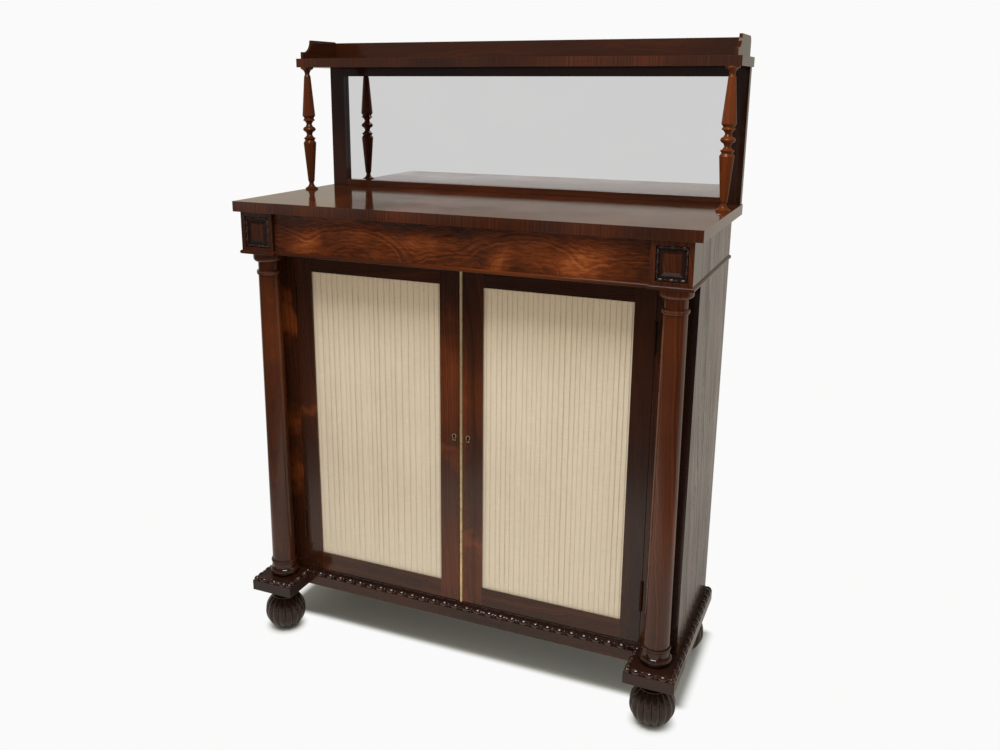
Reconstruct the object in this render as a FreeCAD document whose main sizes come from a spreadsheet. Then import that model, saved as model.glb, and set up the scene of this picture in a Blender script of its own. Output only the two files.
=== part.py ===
import FreeCAD, Part
import math
import os
import re
import Sketcher

# A rosewood chiffonier in the Regency manner. A cupboard with two silk-panelled doors stands on a
# beaded plinth and four reeded bun feet, between two free-standing turned columns. Its top carries a
# mirror frame and one galleried shelf on two turned spindles.
# X runs to the right, Y to the back and Z up, from the floor under the middle. Sizes are in mm.

SIZES = {
    # Carcase
    "carcase_width": 902,
    "carcase_depth": 286,
    "cupboard_height": 711.7,
    "side_thickness": 20,
    "pilaster_thickness": 20,
    "ceiling_thickness": 12,
    "back_thickness": 12,
    "back_plank_gap": 1,
    "inner_shelf_rise": 350,
    "inner_shelf_thickness": 16,
    "inner_shelf_setback": 44,
    "inner_shelf_gap": 0.5,
    "bearer_size": 12,
    "bearer_setback": 10,
    # Frieze and its corner blocks; the blocks stand forward over the columns
    "frieze_height": 84.3,
    "frieze_thickness": 20,
    "frieze_projection": 60.6,
    "frieze_bead_height": 7.8,
    "frieze_bead_depth": 3.8,
    "corner_block_width": 73,
    "corner_block_projection": 70.1,
    "sunk_margin": 8.8,
    "sunk_foot_margin": 6.5,
    "sunk_depth": 4,
    "tablet_width": 25,
    "tablet_height": 29,
    "tablet_rise": 3,
    # Columns
    "column_inset": 33.5,
    "column_projection": 31.6,
    "column_foot_radius": 25,
    "column_head_radius": 21.6,
    "torus_radius": 30.9,
    "torus_height": 18,
    "band_radius": 26.7,
    "band_height": 11,
    "fillet_radius": 27.2,
    "fillet_height": 6,
    "ring_radius": 23.8,
    "ring_height": 8,
    "neck_radius": 21,
    "neck_height": 18,
    "cap_radius": 30,
    "cap_ovolo_height": 8,
    "cap_disc_height": 10.7,
    "column_pin_radius": 8,
    "column_pin_length": 11,
    "socket_gap": 0.15,
    # Plinth
    "plinth_projection": 15,
    "plinth_block_width": 97,
    "plinth_block_projection": 84.2,
    "plinth_centre_projection": 11.5,
    "plinth_rail_thickness": 22,
    "fascia_height": 22,
    "plinth_step_height": 7,
    "base_rise": 6.8,
    "bead_height": 10,
    "bead_depth": 5,
    "bead_inset": 6,
    "rear_block_width": 74,
    # Feet
    "foot_inset": 48.5,
    "foot_radius": 44,
    "foot_base_radius": 16,
    "foot_collar_radius": 27,
    "foot_collar_height": 3.8,
    "foot_neck_radius": 20,
    "foot_neck_height": 21,
    "foot_pin_radius": 10,
    "foot_pin_length": 12,
    # Top slab
    "top_thickness": 20.5,
    "top_front_overhang": 76,
    "top_rear_overhang": 32,
    "top_side_overhang": 14,
    # Mirror frame
    "mirror_frame_inset": 2,
    "mirror_frame_depth": 20,
    "mirror_stile_width": 34.5,
    "mirror_top_rail_height": 17.2,
    "mirror_bottom_rail_height": 13,
    "mirror_lip": 10.5,
    "mirror_rebate": 7,
    "mirror_gap": 0.3,
    "mirror_thickness": 3,
    "mirror_back_thickness": 5,
    # Upper shelf with its gallery
    "superstructure_height": 259.4,
    "upper_shelf_depth": 145,
    "upper_shelf_thickness": 18,
    "upper_shelf_side_overhang": 2,
    "upper_shelf_rear_inset": 2.4,
    "gallery_thickness": 6,
    "gallery_height": 38.6,
    "gallery_back_height": 36.6,
    "gallery_side_inset": 8.7,
    "gallery_front_inset": 4.9,
    "gallery_step_height": 13.5,
    "gallery_step_length": 9,
    "gallery_cove_length": 26,
    "gallery_corner_radius": 13,
    # Spindles: each is the same above and below its middle bead
    "spindle_inset": 15.7,
    "spindle_setback": 13.4,
    "spindle_bead_radius": 13.9,
    "spindle_bead_rise": 6,
    "spindle_bead_edge_radius": 8,
    "spindle_waist_radius": 5.8,
    "spindle_waist_rise": 10.8,
    "spindle_ring_radius": 13.1,
    "spindle_ring_rise": 18.9,
    "spindle_groove_radius": 10,
    "spindle_groove_rise": 23.2,
    "spindle_shoulder_radius": 13.75,
    "spindle_shoulder_rise": 28.9,
    "spindle_taper_radius": 7,
    "spindle_end_height": 19.2,
    "spindle_neck_radius": 5.15,
    "spindle_neck_height": 14.7,
    "spindle_flare_radius": 9.4,
    "spindle_flare_height": 5.2,
    "spindle_disc_radius": 13.5,
    "spindle_disc_height": 2.9,
    "spindle_pin_radius": 4,
    "spindle_pin_length": 10,
    # Doors
    "door_thickness": 20,
    "door_side_gap": 1,
    "door_end_gap": 1.6,
    "meeting_gap": 1.6,
    "meeting_offset": 4.2,
    "hinge_stile_width": 39,
    "meeting_stile_reach": 45.8,
    "door_rail_height": 38.9,
    "door_lip": 4,
    "door_rebate": 6,
    "silk_thickness": 2,
    "silk_gap": 0.3,
    "silk_fillet_width": 5,
    "silk_fillet_depth": 7,
    "astragal_width": 6.5,
    "astragal_depth": 3,
    "astragal_gap": 0.2,
    # Locks
    "lock_rise": 363,
    "lock_width": 34,
    "lock_height": 60,
    "lock_thickness": 11,
    "lock_edge_gap": 2,
    "keyhole_offset": 15.1,
    "keyhole_width": 6.2,
    "keyhole_height": 11.2,
    "escutcheon_width": 9,
    "escutcheon_height": 14,
    "escutcheon_thickness": 1.2,
    # Butt hinges
    "hinge_inset": 100,
    "hinge_height": 60,
    "hinge_throw": 2.5,
    "hinge_leaf_width": 18,
    "hinge_leaf_thickness": 1.3,
    "hinge_leaf_gap": 0.4,
    "knuckle_radius": 3,
    "knuckle_relief": 0.3,
    "knuckle_end_gap": 0.2,
    "hinge_pin_radius": 1.2,
    "hinge_pin_gap": 0.05,
}

# Places that follow from the sizes. A place along X is measured from the middle, for both sides.
PLACES = {
    "carcase_front": "(plinth_block_projection - carcase_depth - top_rear_overhang) / 2",
    "carcase_rear": "carcase_front + carcase_depth",
    "carcase_half": "carcase_width / 2",
    "side_inner": "carcase_half - side_thickness",
    "opening_half": "carcase_half - corner_block_width",
    "bun_centre": "sqrt(foot_radius^2 - foot_base_radius^2)",
    "bun_top": "bun_centre + sqrt(foot_radius^2 - foot_collar_radius^2)",
    "foot_collar_top": "bun_top + foot_collar_height",
    "plinth_underside": "foot_collar_top + foot_neck_height",
    "fascia_top": "plinth_underside + fascia_height",
    "plinth_top": "fascia_top + plinth_step_height",
    "base_top": "plinth_top + base_rise",
    "plinth_half": "carcase_half + plinth_projection",
    "plinth_block_inner": "plinth_half - plinth_block_width",
    "plinth_block_front": "carcase_front - plinth_block_projection",
    "plinth_block_rear": "plinth_block_front + plinth_block_width",
    "plinth_centre_front": "carcase_front - plinth_centre_projection",
    "frieze_bottom": "base_top + cupboard_height",
    "frieze_top": "frieze_bottom + frieze_height",
    "frieze_front": "carcase_front - frieze_projection",
    "corner_block_front": "carcase_front - corner_block_projection",
    "column_x": "carcase_half - column_inset",
    "column_y": "carcase_front - column_projection",
    "column_height": "frieze_bottom - plinth_top",
    "top_surface": "frieze_top + top_thickness",
    "top_half": "carcase_half + top_side_overhang",
    "top_front": "carcase_front - top_front_overhang",
    "top_rear": "carcase_rear + top_rear_overhang",
    "back_front": "carcase_rear - back_thickness",
    "inner_shelf_bottom": "base_top + inner_shelf_rise",
    "foot_x": "plinth_half - foot_inset",
    "foot_front_y": "plinth_block_front + foot_inset",
    "foot_rear_y": "carcase_rear - foot_inset",
    "rear_block_outer": "plinth_half - plinth_rail_thickness",
    "rear_block_rear": "carcase_rear - plinth_rail_thickness",
    "upper_shelf_bottom": "top_surface + superstructure_height",
    "upper_shelf_top": "upper_shelf_bottom + upper_shelf_thickness",
    "upper_shelf_half": "top_half + upper_shelf_side_overhang",
    "upper_shelf_rear": "top_rear - upper_shelf_rear_inset",
    "upper_shelf_front": "upper_shelf_rear - upper_shelf_depth",
    "mirror_frame_half": "top_half - mirror_frame_inset",
    "mirror_frame_front": "top_rear - mirror_frame_depth",
    "mirror_stile_inner": "mirror_frame_half - mirror_stile_width",
    "mirror_opening_low": "top_surface + mirror_bottom_rail_height",
    "mirror_opening_high": "upper_shelf_bottom - mirror_top_rail_height",
    "mirror_seat": "mirror_frame_front + mirror_lip",
    "mirror_front": "mirror_seat + mirror_gap",
    "mirror_back_front": "mirror_front + mirror_thickness + mirror_gap",
    "gallery_outer": "upper_shelf_half - gallery_side_inset",
    "gallery_inner": "gallery_outer - gallery_thickness",
    "gallery_length": "upper_shelf_depth - gallery_front_inset",
    "spindle_x": "top_half - spindle_inset",
    "spindle_y": "upper_shelf_front + spindle_setback",
    "spindle_half": "superstructure_height / 2",
    "door_low": "base_top + door_end_gap",
    "door_high": "frieze_bottom - door_end_gap",
    "door_outer": "opening_half - door_side_gap",
    "door_front": "carcase_front",
    "door_rear": "carcase_front + door_thickness",
    "silk_outer": "door_outer - hinge_stile_width",
    "silk_low": "door_low + door_rail_height",
    "silk_high": "door_high - door_rail_height",
    "silk_seat": "door_front + door_lip",
    "silk_front": "silk_seat + silk_gap",
    "silk_rear": "silk_front + silk_thickness",
    "silk_fillet_front": "silk_rear + silk_gap",
    "lock_z": "base_top + lock_rise",
    "hinge_x": "opening_half - door_side_gap / 2",
    "hinge_y": "door_front - hinge_throw",
    "leaf_front": "hinge_y + knuckle_radius + knuckle_relief",
    "leaf_rear": "hinge_y + hinge_leaf_width",
    "door_leaf_outer": "hinge_x - hinge_leaf_gap / 2",
    "door_leaf_inner": "door_leaf_outer - hinge_leaf_thickness",
    "carcase_leaf_inner": "hinge_x + hinge_leaf_gap / 2",
    "carcase_leaf_outer": "carcase_leaf_inner + hinge_leaf_thickness",
    "upper_hinge_z": "door_high - hinge_inset",
    "lower_hinge_z": "door_low + hinge_inset",
}

SIDES = ("left", "right")
BACK_PLANKS = 5
FOOT_REEDS = 16
# Steps of latitude between the bun's base and its collar
FOOT_STEPS = 6
# How far an arc bends, as the tangent of a quarter of its angle
STRAIGHT = 0
REED_BEND = 0.55
SOFT_BEND = 0.25
QUARTER_ROUND = math.tan(math.radians(22.5))
HALF_ROUND = 1
# A keyhole's half foot, half waist and head, as shares of its width
KEYHOLE_FOOT = 0.36
KEYHOLE_WAIST = 0.27
KEYHOLE_HEAD = 0.92
# The head runs round nearly 300 degrees, down to the waist
KEYHOLE_HEAD_BEND = 3.4
TABLET_BEVEL_DEGREES = 66
HINGE_HEIGHTS = {"lower": "lower_hinge_z", "upper": "upper_hinge_z"}
# Points of a sketch that lie closer than this are one point
SAME_POINT = 0.001

doc = FreeCAD.newDocument("Chiffonier")
sheet = doc.addObject("Spreadsheet::Sheet", "Sizes")
nodes = []


def fill_sheet():
    """Write each size into a cell whose alias is the size's name."""
    for row, (name, size) in enumerate(SIZES.items(), start=1):
        sheet.set(f"A{row}", str(size))
        sheet.setAlias(f"A{row}", name)
    doc.recompute()


# Expressions

def bound(text):
    """Spell out the places in an expression and point its sizes at the sheet's cells."""
    def reference(match):
        word = match.group()
        if word in PLACES:
            return f"({bound(PLACES[word])})"
        if word in SIZES:
            return f"Sizes.{word}"
        return word
    return re.sub(r"[a-z]\w*", reference, str(text))


def value(text):
    return float(sheet.evalExpression(bound(text)))


def bind(thing, **properties):
    """Bind properties to expressions. Underscores in a name stand for the dots of a path."""
    for name, text in properties.items():
        thing.setExpression(name.replace("_", "."), bound(text))


def put(thing, x=0, y=0, z=0):
    bind(thing, Placement_Base_x=x, Placement_Base_y=y, Placement_Base_z=z)
    return thing


def sign(side):
    return -1 if side == "left" else 1


def span(side, inner, outer):
    """The low and high place along X of a piece that lies between two distances from the middle."""
    if side == "left":
        return f"-({outer})", f"-({inner})"
    return inner, outer


def across(half):
    return f"-({half})", half


def about(centre, width):
    return f"{centre} - ({width}) / 2", f"{centre} + ({width}) / 2"


def node(thing, name):
    """Give a finished sub-part its name."""
    thing.Label = name
    nodes.append(thing)
    return thing


# Primitives and booleans

def board(name, x, y, z):
    """A rectangular board between its low and high places along X, Y and Z."""
    box = doc.addObject("Part::Box", name)
    (x_low, x_high), (y_low, y_high), (z_low, z_high) = x, y, z
    bind(box, Length=f"{x_high} - ({x_low})", Width=f"{y_high} - ({y_low})", Height=f"{z_high} - ({z_low})")
    return put(box, x_low, y_low, z_low)


def rod(name, radius, z, x, y):
    """An upright cylinder between its low and high places along Z."""
    cylinder = doc.addObject("Part::Cylinder", name)
    z_low, z_high = z
    bind(cylinder, Radius=radius, Height=f"{z_high} - ({z_low})")
    return put(cylinder, x, y, z_low)


def cut(base, *tools):
    for number, tool in enumerate(tools):
        base_name = base.Name
        result = doc.addObject("Part::Cut", f"{base_name}_cut{number}")
        result.Base = base
        result.Tool = tool
        base = result
    return base


def fuse(name, *pieces):
    result = doc.addObject("Part::MultiFuse", name)
    result.Shapes = list(pieces)
    return result


def group(name, pieces):
    """Separate solids that belong to one sub-part."""
    result = doc.addObject("Part::Compound", name)
    result.Links = list(pieces)
    return result


# Sketches and the features made from them

def new_sketch(body, plane, name, offset=0):
    """A sketch on one of the body's origin planes, moved off it by an offset along its normal."""
    sketch = body.newObject("Sketcher::SketchObject", name)
    support = next(feature for feature in body.Origin.OriginFeatures if feature.Role == plane)
    sketch.AttachmentSupport = [(support, "")]
    sketch.MapMode = "FlatFace"
    bind(sketch, AttachmentOffset_Base_z=offset)
    return sketch


def fix_point(sketch, edge, end, place):
    """Hold a point of the sketch at a place given by two expressions."""
    for kind, axis, text in (("DistanceX", -2, place[0]), ("DistanceY", -1, place[1])):
        if text == 0:
            sketch.addConstraint(Sketcher.Constraint("PointOnObject", edge, end, axis))
        else:
            size = value(text)
            index = sketch.addConstraint(Sketcher.Constraint(kind, -1, 1, edge, end, size))
            sketch.setExpression(f"Constraints[{index}]", bound(text))


def end_nearest(sketch, edge, point):
    """1 or 2: the end of an edge that lies at the point."""
    return 1 if sketch.getPoint(edge, 1).distanceToPoint(point) < SAME_POINT else 2


def draw(sketch, corners, closed=True):
    """Draw an outline through corners (across, up, bend), where bend shapes the edge to the next one.

    A positive bend bulges to the right of the way the outline runs, which is outwards when it runs
    anticlockwise.
    """
    corners = [tuple(corner) + (STRAIGHT,) * (3 - len(corner)) for corner in corners]
    points = [FreeCAD.Vector(value(x), value(y), 0) for x, y, bend in corners]
    count = len(corners) if closed else len(corners) - 1
    edges = []
    for index in range(count):
        start = points[index]
        end = points[(index + 1) % len(points)]
        bend = corners[index][2]
        if bend == STRAIGHT:
            edges.append(sketch.addGeometry(Part.LineSegment(start, end)))
        else:
            chord = end - start
            outward = FreeCAD.Vector(chord.y, -chord.x, 0)
            middle = (start + end) / 2 + outward * (bend / 2)
            edges.append(sketch.addGeometry(Part.Arc(start, middle, end)))
    for index, edge in enumerate(edges):
        fix_point(sketch, edge, end_nearest(sketch, edge, points[index]), corners[index])
        following = (index + 1) % len(points)
        ending = end_nearest(sketch, edge, points[following])
        if following < len(edges):
            after = edges[following]
            meeting = end_nearest(sketch, after, points[following])
            sketch.addConstraint(Sketcher.Constraint("Coincident", edge, ending, after, meeting))
        else:
            fix_point(sketch, edge, ending, corners[following])
        if corners[index][2] != STRAIGHT:
            round_edge(sketch, edge, corners[index], corners[following])
    return sketch


def round_edge(sketch, edge, start, end):
    """Hold an arc's centre beside the middle of its chord, so that its bend stays."""
    across_low, up_low, bend = start
    across_high, up_high = end[:2]
    wide = f"({across_high} - ({across_low}))"
    tall = f"({up_high} - ({up_low}))"
    shift = f"{(1 - bend ** 2) / (4 * bend):.9f}"
    if abs(value(tall)) > abs(value(wide)):
        kind = "DistanceX"
        text = f"({across_low} + ({across_high})) / 2 - {tall} * {shift}"
    else:
        kind = "DistanceY"
        text = f"({up_low} + ({up_high})) / 2 + {wide} * {shift}"
    index = sketch.addConstraint(Sketcher.Constraint(kind, -1, 1, edge, 3, value(text)))
    sketch.setExpression(f"Constraints[{index}]", bound(text))


def new_body(name):
    return doc.addObject("PartDesign::Body", name)


def pad(body, sketch, length, reverse=False, taper=0):
    feature = body.newObject("PartDesign::Pad", sketch.Name + "_pad")
    feature.Profile = sketch
    feature.Reversed = reverse
    feature.TaperAngle = taper
    bind(feature, Length=length)
    body.Tip = feature
    return feature


def pocket(body, sketch, length, reverse=False):
    feature = body.newObject("PartDesign::Pocket", sketch.Name + "_pocket")
    feature.Profile = sketch
    feature.Reversed = reverse
    bind(feature, Length=length)
    body.Tip = feature
    return feature


def turn(body, sketch):
    """Turn a half profile round the upright axis of its sketch."""
    feature = body.newObject("PartDesign::Revolution", sketch.Name + "_turning")
    feature.Profile = sketch
    feature.ReferenceAxis = (sketch, ["V_Axis"])
    feature.Angle = 360
    body.Tip = feature
    return feature


def run_moulding(name, path, rear, height, depth, low):
    """A half-round moulding along a level path that starts at a rear corner, with mitred corners."""
    body = new_body(name)
    middle = f"{low} + ({height}) / 2"
    route = draw(new_sketch(body, "XY_Plane", name + "_route", middle), path, closed=False)
    section = new_sketch(body, "XZ_Plane", name + "_section", f"-({rear})")
    bend = 2 * value(depth) / value(height)
    draw(section, [(path[0][0], f"{low} + ({height})", bend), (path[0][0], low)])
    moulding = body.newObject("PartDesign::AdditivePipe", name + "_run")
    moulding.Profile = section
    moulding.Spine = (route, [f"Edge{number}" for number in range(1, len(path))])
    moulding.Transition = "Right corner"
    body.Tip = moulding
    return node(body, name)


# Feet

def reeded_section(body, name, share):
    """One level cross-section of the bun: a ring of convex reeds that meet in sharp valleys.

    The bun is a ball cut off at its base and its collar, and share is how far up between them it is,
    by latitude.
    """
    half_reed = math.radians(180 / FOOT_REEDS)
    crest = math.cos(half_reed) + REED_BEND * math.sin(half_reed)
    base = "acos(foot_base_radius / foot_radius)"
    collar = "acos(foot_collar_radius / foot_radius)"
    latitude = f"({share:.6f} * {collar} - {1 - share:.6f} * {base})"
    corners = []
    for reed in range(FOOT_REEDS):
        angle = 2 * half_reed * (reed + 0.5)
        x = f"foot_radius * cos{latitude} * {math.cos(angle) / crest:.9f}"
        y = f"foot_radius * cos{latitude} * {math.sin(angle) / crest:.9f}"
        corners.append((x, y, REED_BEND))
    height = f"bun_centre + foot_radius * sin{latitude}"
    return draw(new_sketch(body, "XY_Plane", name, height), corners)


def reeded_foot(name, x, y):
    """A melon-reeded bun with a turned collar and neck and the pin that holds it in the plinth."""
    body = new_body(name)
    sections = [reeded_section(body, f"{name}_level{step}", step / FOOT_STEPS)
                for step in range(FOOT_STEPS + 1)]
    bun = body.newObject("PartDesign::AdditiveLoft", name + "_bun")
    bun.Profile = sections[0]
    bun.Sections = sections[1:]
    body.Tip = bun
    pin_top = "plinth_underside + foot_pin_length"
    profile = [
        (0, "bun_centre"),
        ("foot_pin_radius", "bun_centre"),
        ("foot_pin_radius", "bun_top"),
        ("foot_collar_radius - foot_collar_height / 2", "bun_top", HALF_ROUND),
        ("foot_collar_radius - foot_collar_height / 2", "foot_collar_top"),
        ("foot_neck_radius", "foot_collar_top", -SOFT_BEND),
        ("foot_neck_radius", "plinth_underside"),
        ("foot_pin_radius", "plinth_underside"),
        ("foot_pin_radius", pin_top),
        (0, pin_top),
    ]
    turn(body, draw(new_sketch(body, "XZ_Plane", name + "_collar"), profile))
    return node(put(body, x, y), name)


def make_feet():
    for side in SIDES:
        x = f"{sign(side)} * (foot_x)"
        reeded_foot(f"foot_front_{side}", x, "foot_front_y")
        reeded_foot(f"foot_rear_{side}", x, "foot_rear_y")


def foot_socket(name, x, y):
    z = ("plinth_underside", "plinth_underside + foot_pin_length + socket_gap")
    return rod(name, "foot_pin_radius + socket_gap", z, x, y)


# Plinth

def make_plinth_blocks():
    """The pedestals of the columns. Their upper step lets the bead moulding run round them."""
    for side in SIDES:
        name = f"plinth_block_{side}"
        low_step = board(name + "_fascia", span(side, "plinth_block_inner", "plinth_half"),
                         ("plinth_block_front", "plinth_block_rear"), ("plinth_underside", "fascia_top"))
        high_step = board(name + "_step",
                          span(side, "plinth_block_inner + bead_inset", "plinth_half - bead_inset"),
                          ("plinth_block_front + bead_inset", "plinth_centre_front + bead_inset"),
                          ("fascia_top", "plinth_top"))
        foot_hole = foot_socket(name + "_foot_hole", f"{sign(side)} * (foot_x)", "foot_front_y")
        column_hole = column_socket(name + "_column_hole", side,
                                    ("plinth_top - column_pin_length - socket_gap", "plinth_top"))
        node(cut(fuse(name + "_steps", low_step, high_step), foot_hole, column_hole), name)


def make_plinth_rails():
    z = ("plinth_underside", "fascia_top")
    front = ("plinth_centre_front", "plinth_centre_front + plinth_rail_thickness")
    node(board("front_rail", across("plinth_block_inner"), front, z), "plinth_front_rail")
    rear = ("rear_block_rear", "carcase_rear")
    node(board("back_rail", across("rear_block_outer"), rear, z), "plinth_back_rail")
    blocks = []
    for side in SIDES:
        name = f"plinth_side_rail_{side}"
        x = span(side, "rear_block_outer", "plinth_half")
        node(board(name, x, ("plinth_block_rear", "carcase_rear"), z), name)
        x = span(side, "rear_block_outer - rear_block_width", "rear_block_outer")
        block = board(f"rear_block_{side}", x, ("rear_block_rear - rear_block_width", "rear_block_rear"), z)
        hole = foot_socket(f"rear_foot_hole_{side}", f"{sign(side)} * (foot_x)", "foot_rear_y")
        blocks.append(cut(block, hole))
    node(group("rear_blocks", blocks), "rear_foot_blocks")


def make_base_board():
    """The cupboard's floor. The bead moulding runs along its lower step; the sides stand on the upper."""
    low_step = board("floor_low_step", across("plinth_half - bead_inset"),
                     ("plinth_centre_front + bead_inset", "carcase_rear"), ("fascia_top", "plinth_top"))
    high_step = board("floor_high_step", across("carcase_half"), ("carcase_front", "carcase_rear"),
                      ("plinth_top", "base_top"))
    node(fuse("floor_board", low_step, high_step), "base_board")


def stepped_path(outer, inner, front, centre_front):
    """A path from the left rear corner round the left block, the recessed middle and the right block."""
    left = [(f"-({outer})", "carcase_rear"), (f"-({outer})", front),
            (f"-({inner})", front), (f"-({inner})", centre_front)]
    right = [(inner, centre_front), (inner, front), (outer, front), (outer, "carcase_rear")]
    return left + right


def make_bead_moulding():
    path = stepped_path("plinth_half - bead_inset", "plinth_block_inner + bead_inset",
                        "plinth_block_front + bead_inset", "plinth_centre_front + bead_inset")
    run_moulding("plinth_bead_moulding", path, "carcase_rear", "bead_height", "bead_depth", "fascia_top")


# Columns

def column_socket(name, side, z):
    return rod(name, "column_pin_radius + socket_gap", z, f"{sign(side)} * (column_x)", "column_y")


def column_profile():
    """Half of the turned outline from the bottom pin up. Heights are above the plinth's top."""
    torus_top = "torus_height"
    band_top = f"{torus_top} + band_height"
    shaft_foot = f"{band_top} + fillet_height"
    disc_low = "column_height - cap_disc_height"
    ovolo_low = f"{disc_low} - cap_ovolo_height"
    ring_top = f"{ovolo_low} - neck_height"
    ring_low = f"{ring_top} - ring_height"
    pin_top = "column_height + column_pin_length"
    torus_seat = "torus_radius - torus_height / 2"
    return [
        (0, "-column_pin_length"),
        ("column_pin_radius", "-column_pin_length"),
        ("column_pin_radius", 0),
        (torus_seat, 0, HALF_ROUND),
        (torus_seat, torus_top),
        ("band_radius", torus_top),
        ("band_radius", band_top),
        ("fillet_radius", band_top, SOFT_BEND),
        ("fillet_radius", shaft_foot),
        ("column_foot_radius", shaft_foot),
        ("column_head_radius", ring_low),
        ("ring_radius", ring_low, SOFT_BEND),
        ("ring_radius", ring_top),
        ("neck_radius", ring_top),
        ("neck_radius", ovolo_low, QUARTER_ROUND),
        ("cap_radius", disc_low),
        ("cap_radius", "column_height"),
        ("column_pin_radius", "column_height"),
        ("column_pin_radius", pin_top),
        (0, pin_top),
    ]


def make_columns():
    for side in SIDES:
        name = f"column_{side}"
        body = new_body(name)
        turn(body, draw(new_sketch(body, "XZ_Plane", name + "_outline"), column_profile()))
        node(put(body, f"{sign(side)} * (column_x)", "column_y", "plinth_top"), name)


# Frieze

def make_corner_blocks():
    """Blocks over the columns, each with a sunk square and a bevelled tablet on its front."""
    for side in SIDES:
        name = f"corner_block_{side}"
        body = new_body(name + "_front")
        face = rectangle(body, name + "_face", "corner_block_width / 2", 0, "frieze_height")
        pad(body, face, "corner_block_projection", reverse=True)
        sunk_low = "frieze_bead_height + sunk_foot_margin"
        sunk_high = "frieze_height - sunk_margin"
        sunk = rectangle(body, name + "_sunk", "corner_block_width / 2 - sunk_margin", sunk_low, sunk_high)
        pocket(body, sunk, "sunk_depth")
        centre = f"({sunk_low} + {sunk_high}) / 2"
        tablet = rectangle(body, name + "_tablet", "tablet_width / 2", *about(centre, "tablet_height"),
                           offset="tablet_rise - sunk_depth")
        pad(body, tablet, "tablet_rise", reverse=True, taper=TABLET_BEVEL_DEGREES)
        x = f"{sign(side)} * (carcase_half - corner_block_width / 2)"
        put(body, x, "corner_block_front", "frieze_bottom")
        hole = column_socket(name + "_hole", side,
                             ("frieze_bottom", "frieze_bottom + column_pin_length + socket_gap"))
        node(cut(body, hole), name)


def rectangle(body, name, half_width, low, high, offset=0):
    """An upright rectangle on the body's front plane, as wide to the left as to the right."""
    corners = [(f"-({half_width})", low), (half_width, low), (half_width, high), (f"-({half_width})", high)]
    return draw(new_sketch(body, "XZ_Plane", name, offset), corners)


def make_frieze():
    z = ("frieze_bottom", "frieze_top")
    y = ("frieze_front", "frieze_front + frieze_thickness")
    node(board("frieze", across("opening_half"), y, z), "frieze_board")
    path = stepped_path("carcase_half", "opening_half", "corner_block_front", "frieze_front")
    run_moulding("frieze_moulding", path, "carcase_rear", "frieze_bead_height", "frieze_bead_depth",
                 "frieze_bottom")


# Carcase

def make_side_panels():
    for side in SIDES:
        name = f"side_panel_{side}"
        x = span(side, "side_inner", "carcase_half")
        node(board(name, x, ("carcase_front", "carcase_rear"), ("base_top", "frieze_top")), name)


def make_pilasters():
    """Flat uprights behind the columns, let in for the hinge leaves and relieved for the knuckles."""
    for side in SIDES:
        name = f"pilaster_{side}"
        upright = board(name + "_upright", span(side, "opening_half", "side_inner"),
                        ("carcase_front", "carcase_front + pilaster_thickness"),
                        ("base_top", "frieze_bottom"))
        recesses = hinge_recesses(name, side, "opening_half", "carcase_leaf_outer")
        node(cut(upright, *recesses), name)


def make_ceiling():
    """The board over the cupboard, notched round the corner blocks."""
    body = new_body("ceiling_board")
    wide = "side_inner"
    narrow = "opening_half"
    front = "frieze_front + frieze_thickness"
    corners = [(f"-({narrow})", front), (narrow, front), (narrow, "carcase_front"), (wide, "carcase_front"),
               (wide, "back_front"), (f"-({wide})", "back_front"), (f"-({wide})", "carcase_front"),
               (f"-({narrow})", "carcase_front")]
    pad(body, draw(new_sketch(body, "XY_Plane", "ceiling_outline"), corners), "ceiling_thickness")
    node(put(body, z="frieze_bottom"), "ceiling_board")


def make_back_boards():
    """Upright planks with a shrinkage gap between each two."""
    planks = []
    width = f"((side_inner) * 2 - back_plank_gap * {BACK_PLANKS - 1}) / {BACK_PLANKS}"
    for number in range(BACK_PLANKS):
        low = f"-(side_inner) + {number} * ({width} + back_plank_gap)"
        planks.append(board(f"back_plank{number}", (low, f"{low} + {width}"), ("back_front", "carcase_rear"),
                            ("base_top", "frieze_top")))
    node(group("back_planks", planks), "back_boards")


def make_inner_shelf():
    bearers = []
    bearer_z = ("inner_shelf_bottom - bearer_size", "inner_shelf_bottom")
    shelf_front = "carcase_front + inner_shelf_setback"
    for side in SIDES:
        x = span(side, "side_inner - bearer_size", "side_inner")
        y = (f"{shelf_front} + bearer_setback", "back_front")
        bearers.append(board(f"bearer_{side}", x, y, bearer_z))
    node(group("bearers", bearers), "shelf_bearers")
    z = ("inner_shelf_bottom", "inner_shelf_bottom + inner_shelf_thickness")
    node(board("shelf", across("side_inner - inner_shelf_gap"), (shelf_front, "back_front"), z),
         "interior_shelf")


# Top and superstructure

def spindle_socket(name, side, z):
    return rod(name, "spindle_pin_radius + socket_gap", z, f"{sign(side)} * (spindle_x)", "spindle_y")


def make_top():
    slab = board("top_board", across("top_half"), ("top_front", "top_rear"), ("frieze_top", "top_surface"))
    z = ("top_surface - spindle_pin_length - socket_gap", "top_surface")
    holes = [spindle_socket(f"top_hole_{side}", side, z) for side in SIDES]
    node(cut(slab, *holes), "top_slab")


def make_upper_shelf():
    shelf = board("gallery_shelf", across("upper_shelf_half"), ("upper_shelf_front", "upper_shelf_rear"),
                  ("upper_shelf_bottom", "upper_shelf_top"))
    z = ("upper_shelf_bottom", "upper_shelf_bottom + spindle_pin_length + socket_gap")
    holes = [spindle_socket(f"shelf_hole_{side}", side, z) for side in SIDES]
    node(cut(shelf, *holes), "upper_shelf")


def mirror_recess():
    """The space behind the frame's lip that takes the mirror plate and its backboard."""
    return board("mirror_recess", across("mirror_stile_inner + mirror_rebate"),
                 ("mirror_seat", "top_rear"),
                 ("mirror_opening_low - mirror_rebate", "mirror_opening_high + mirror_rebate"))


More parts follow.
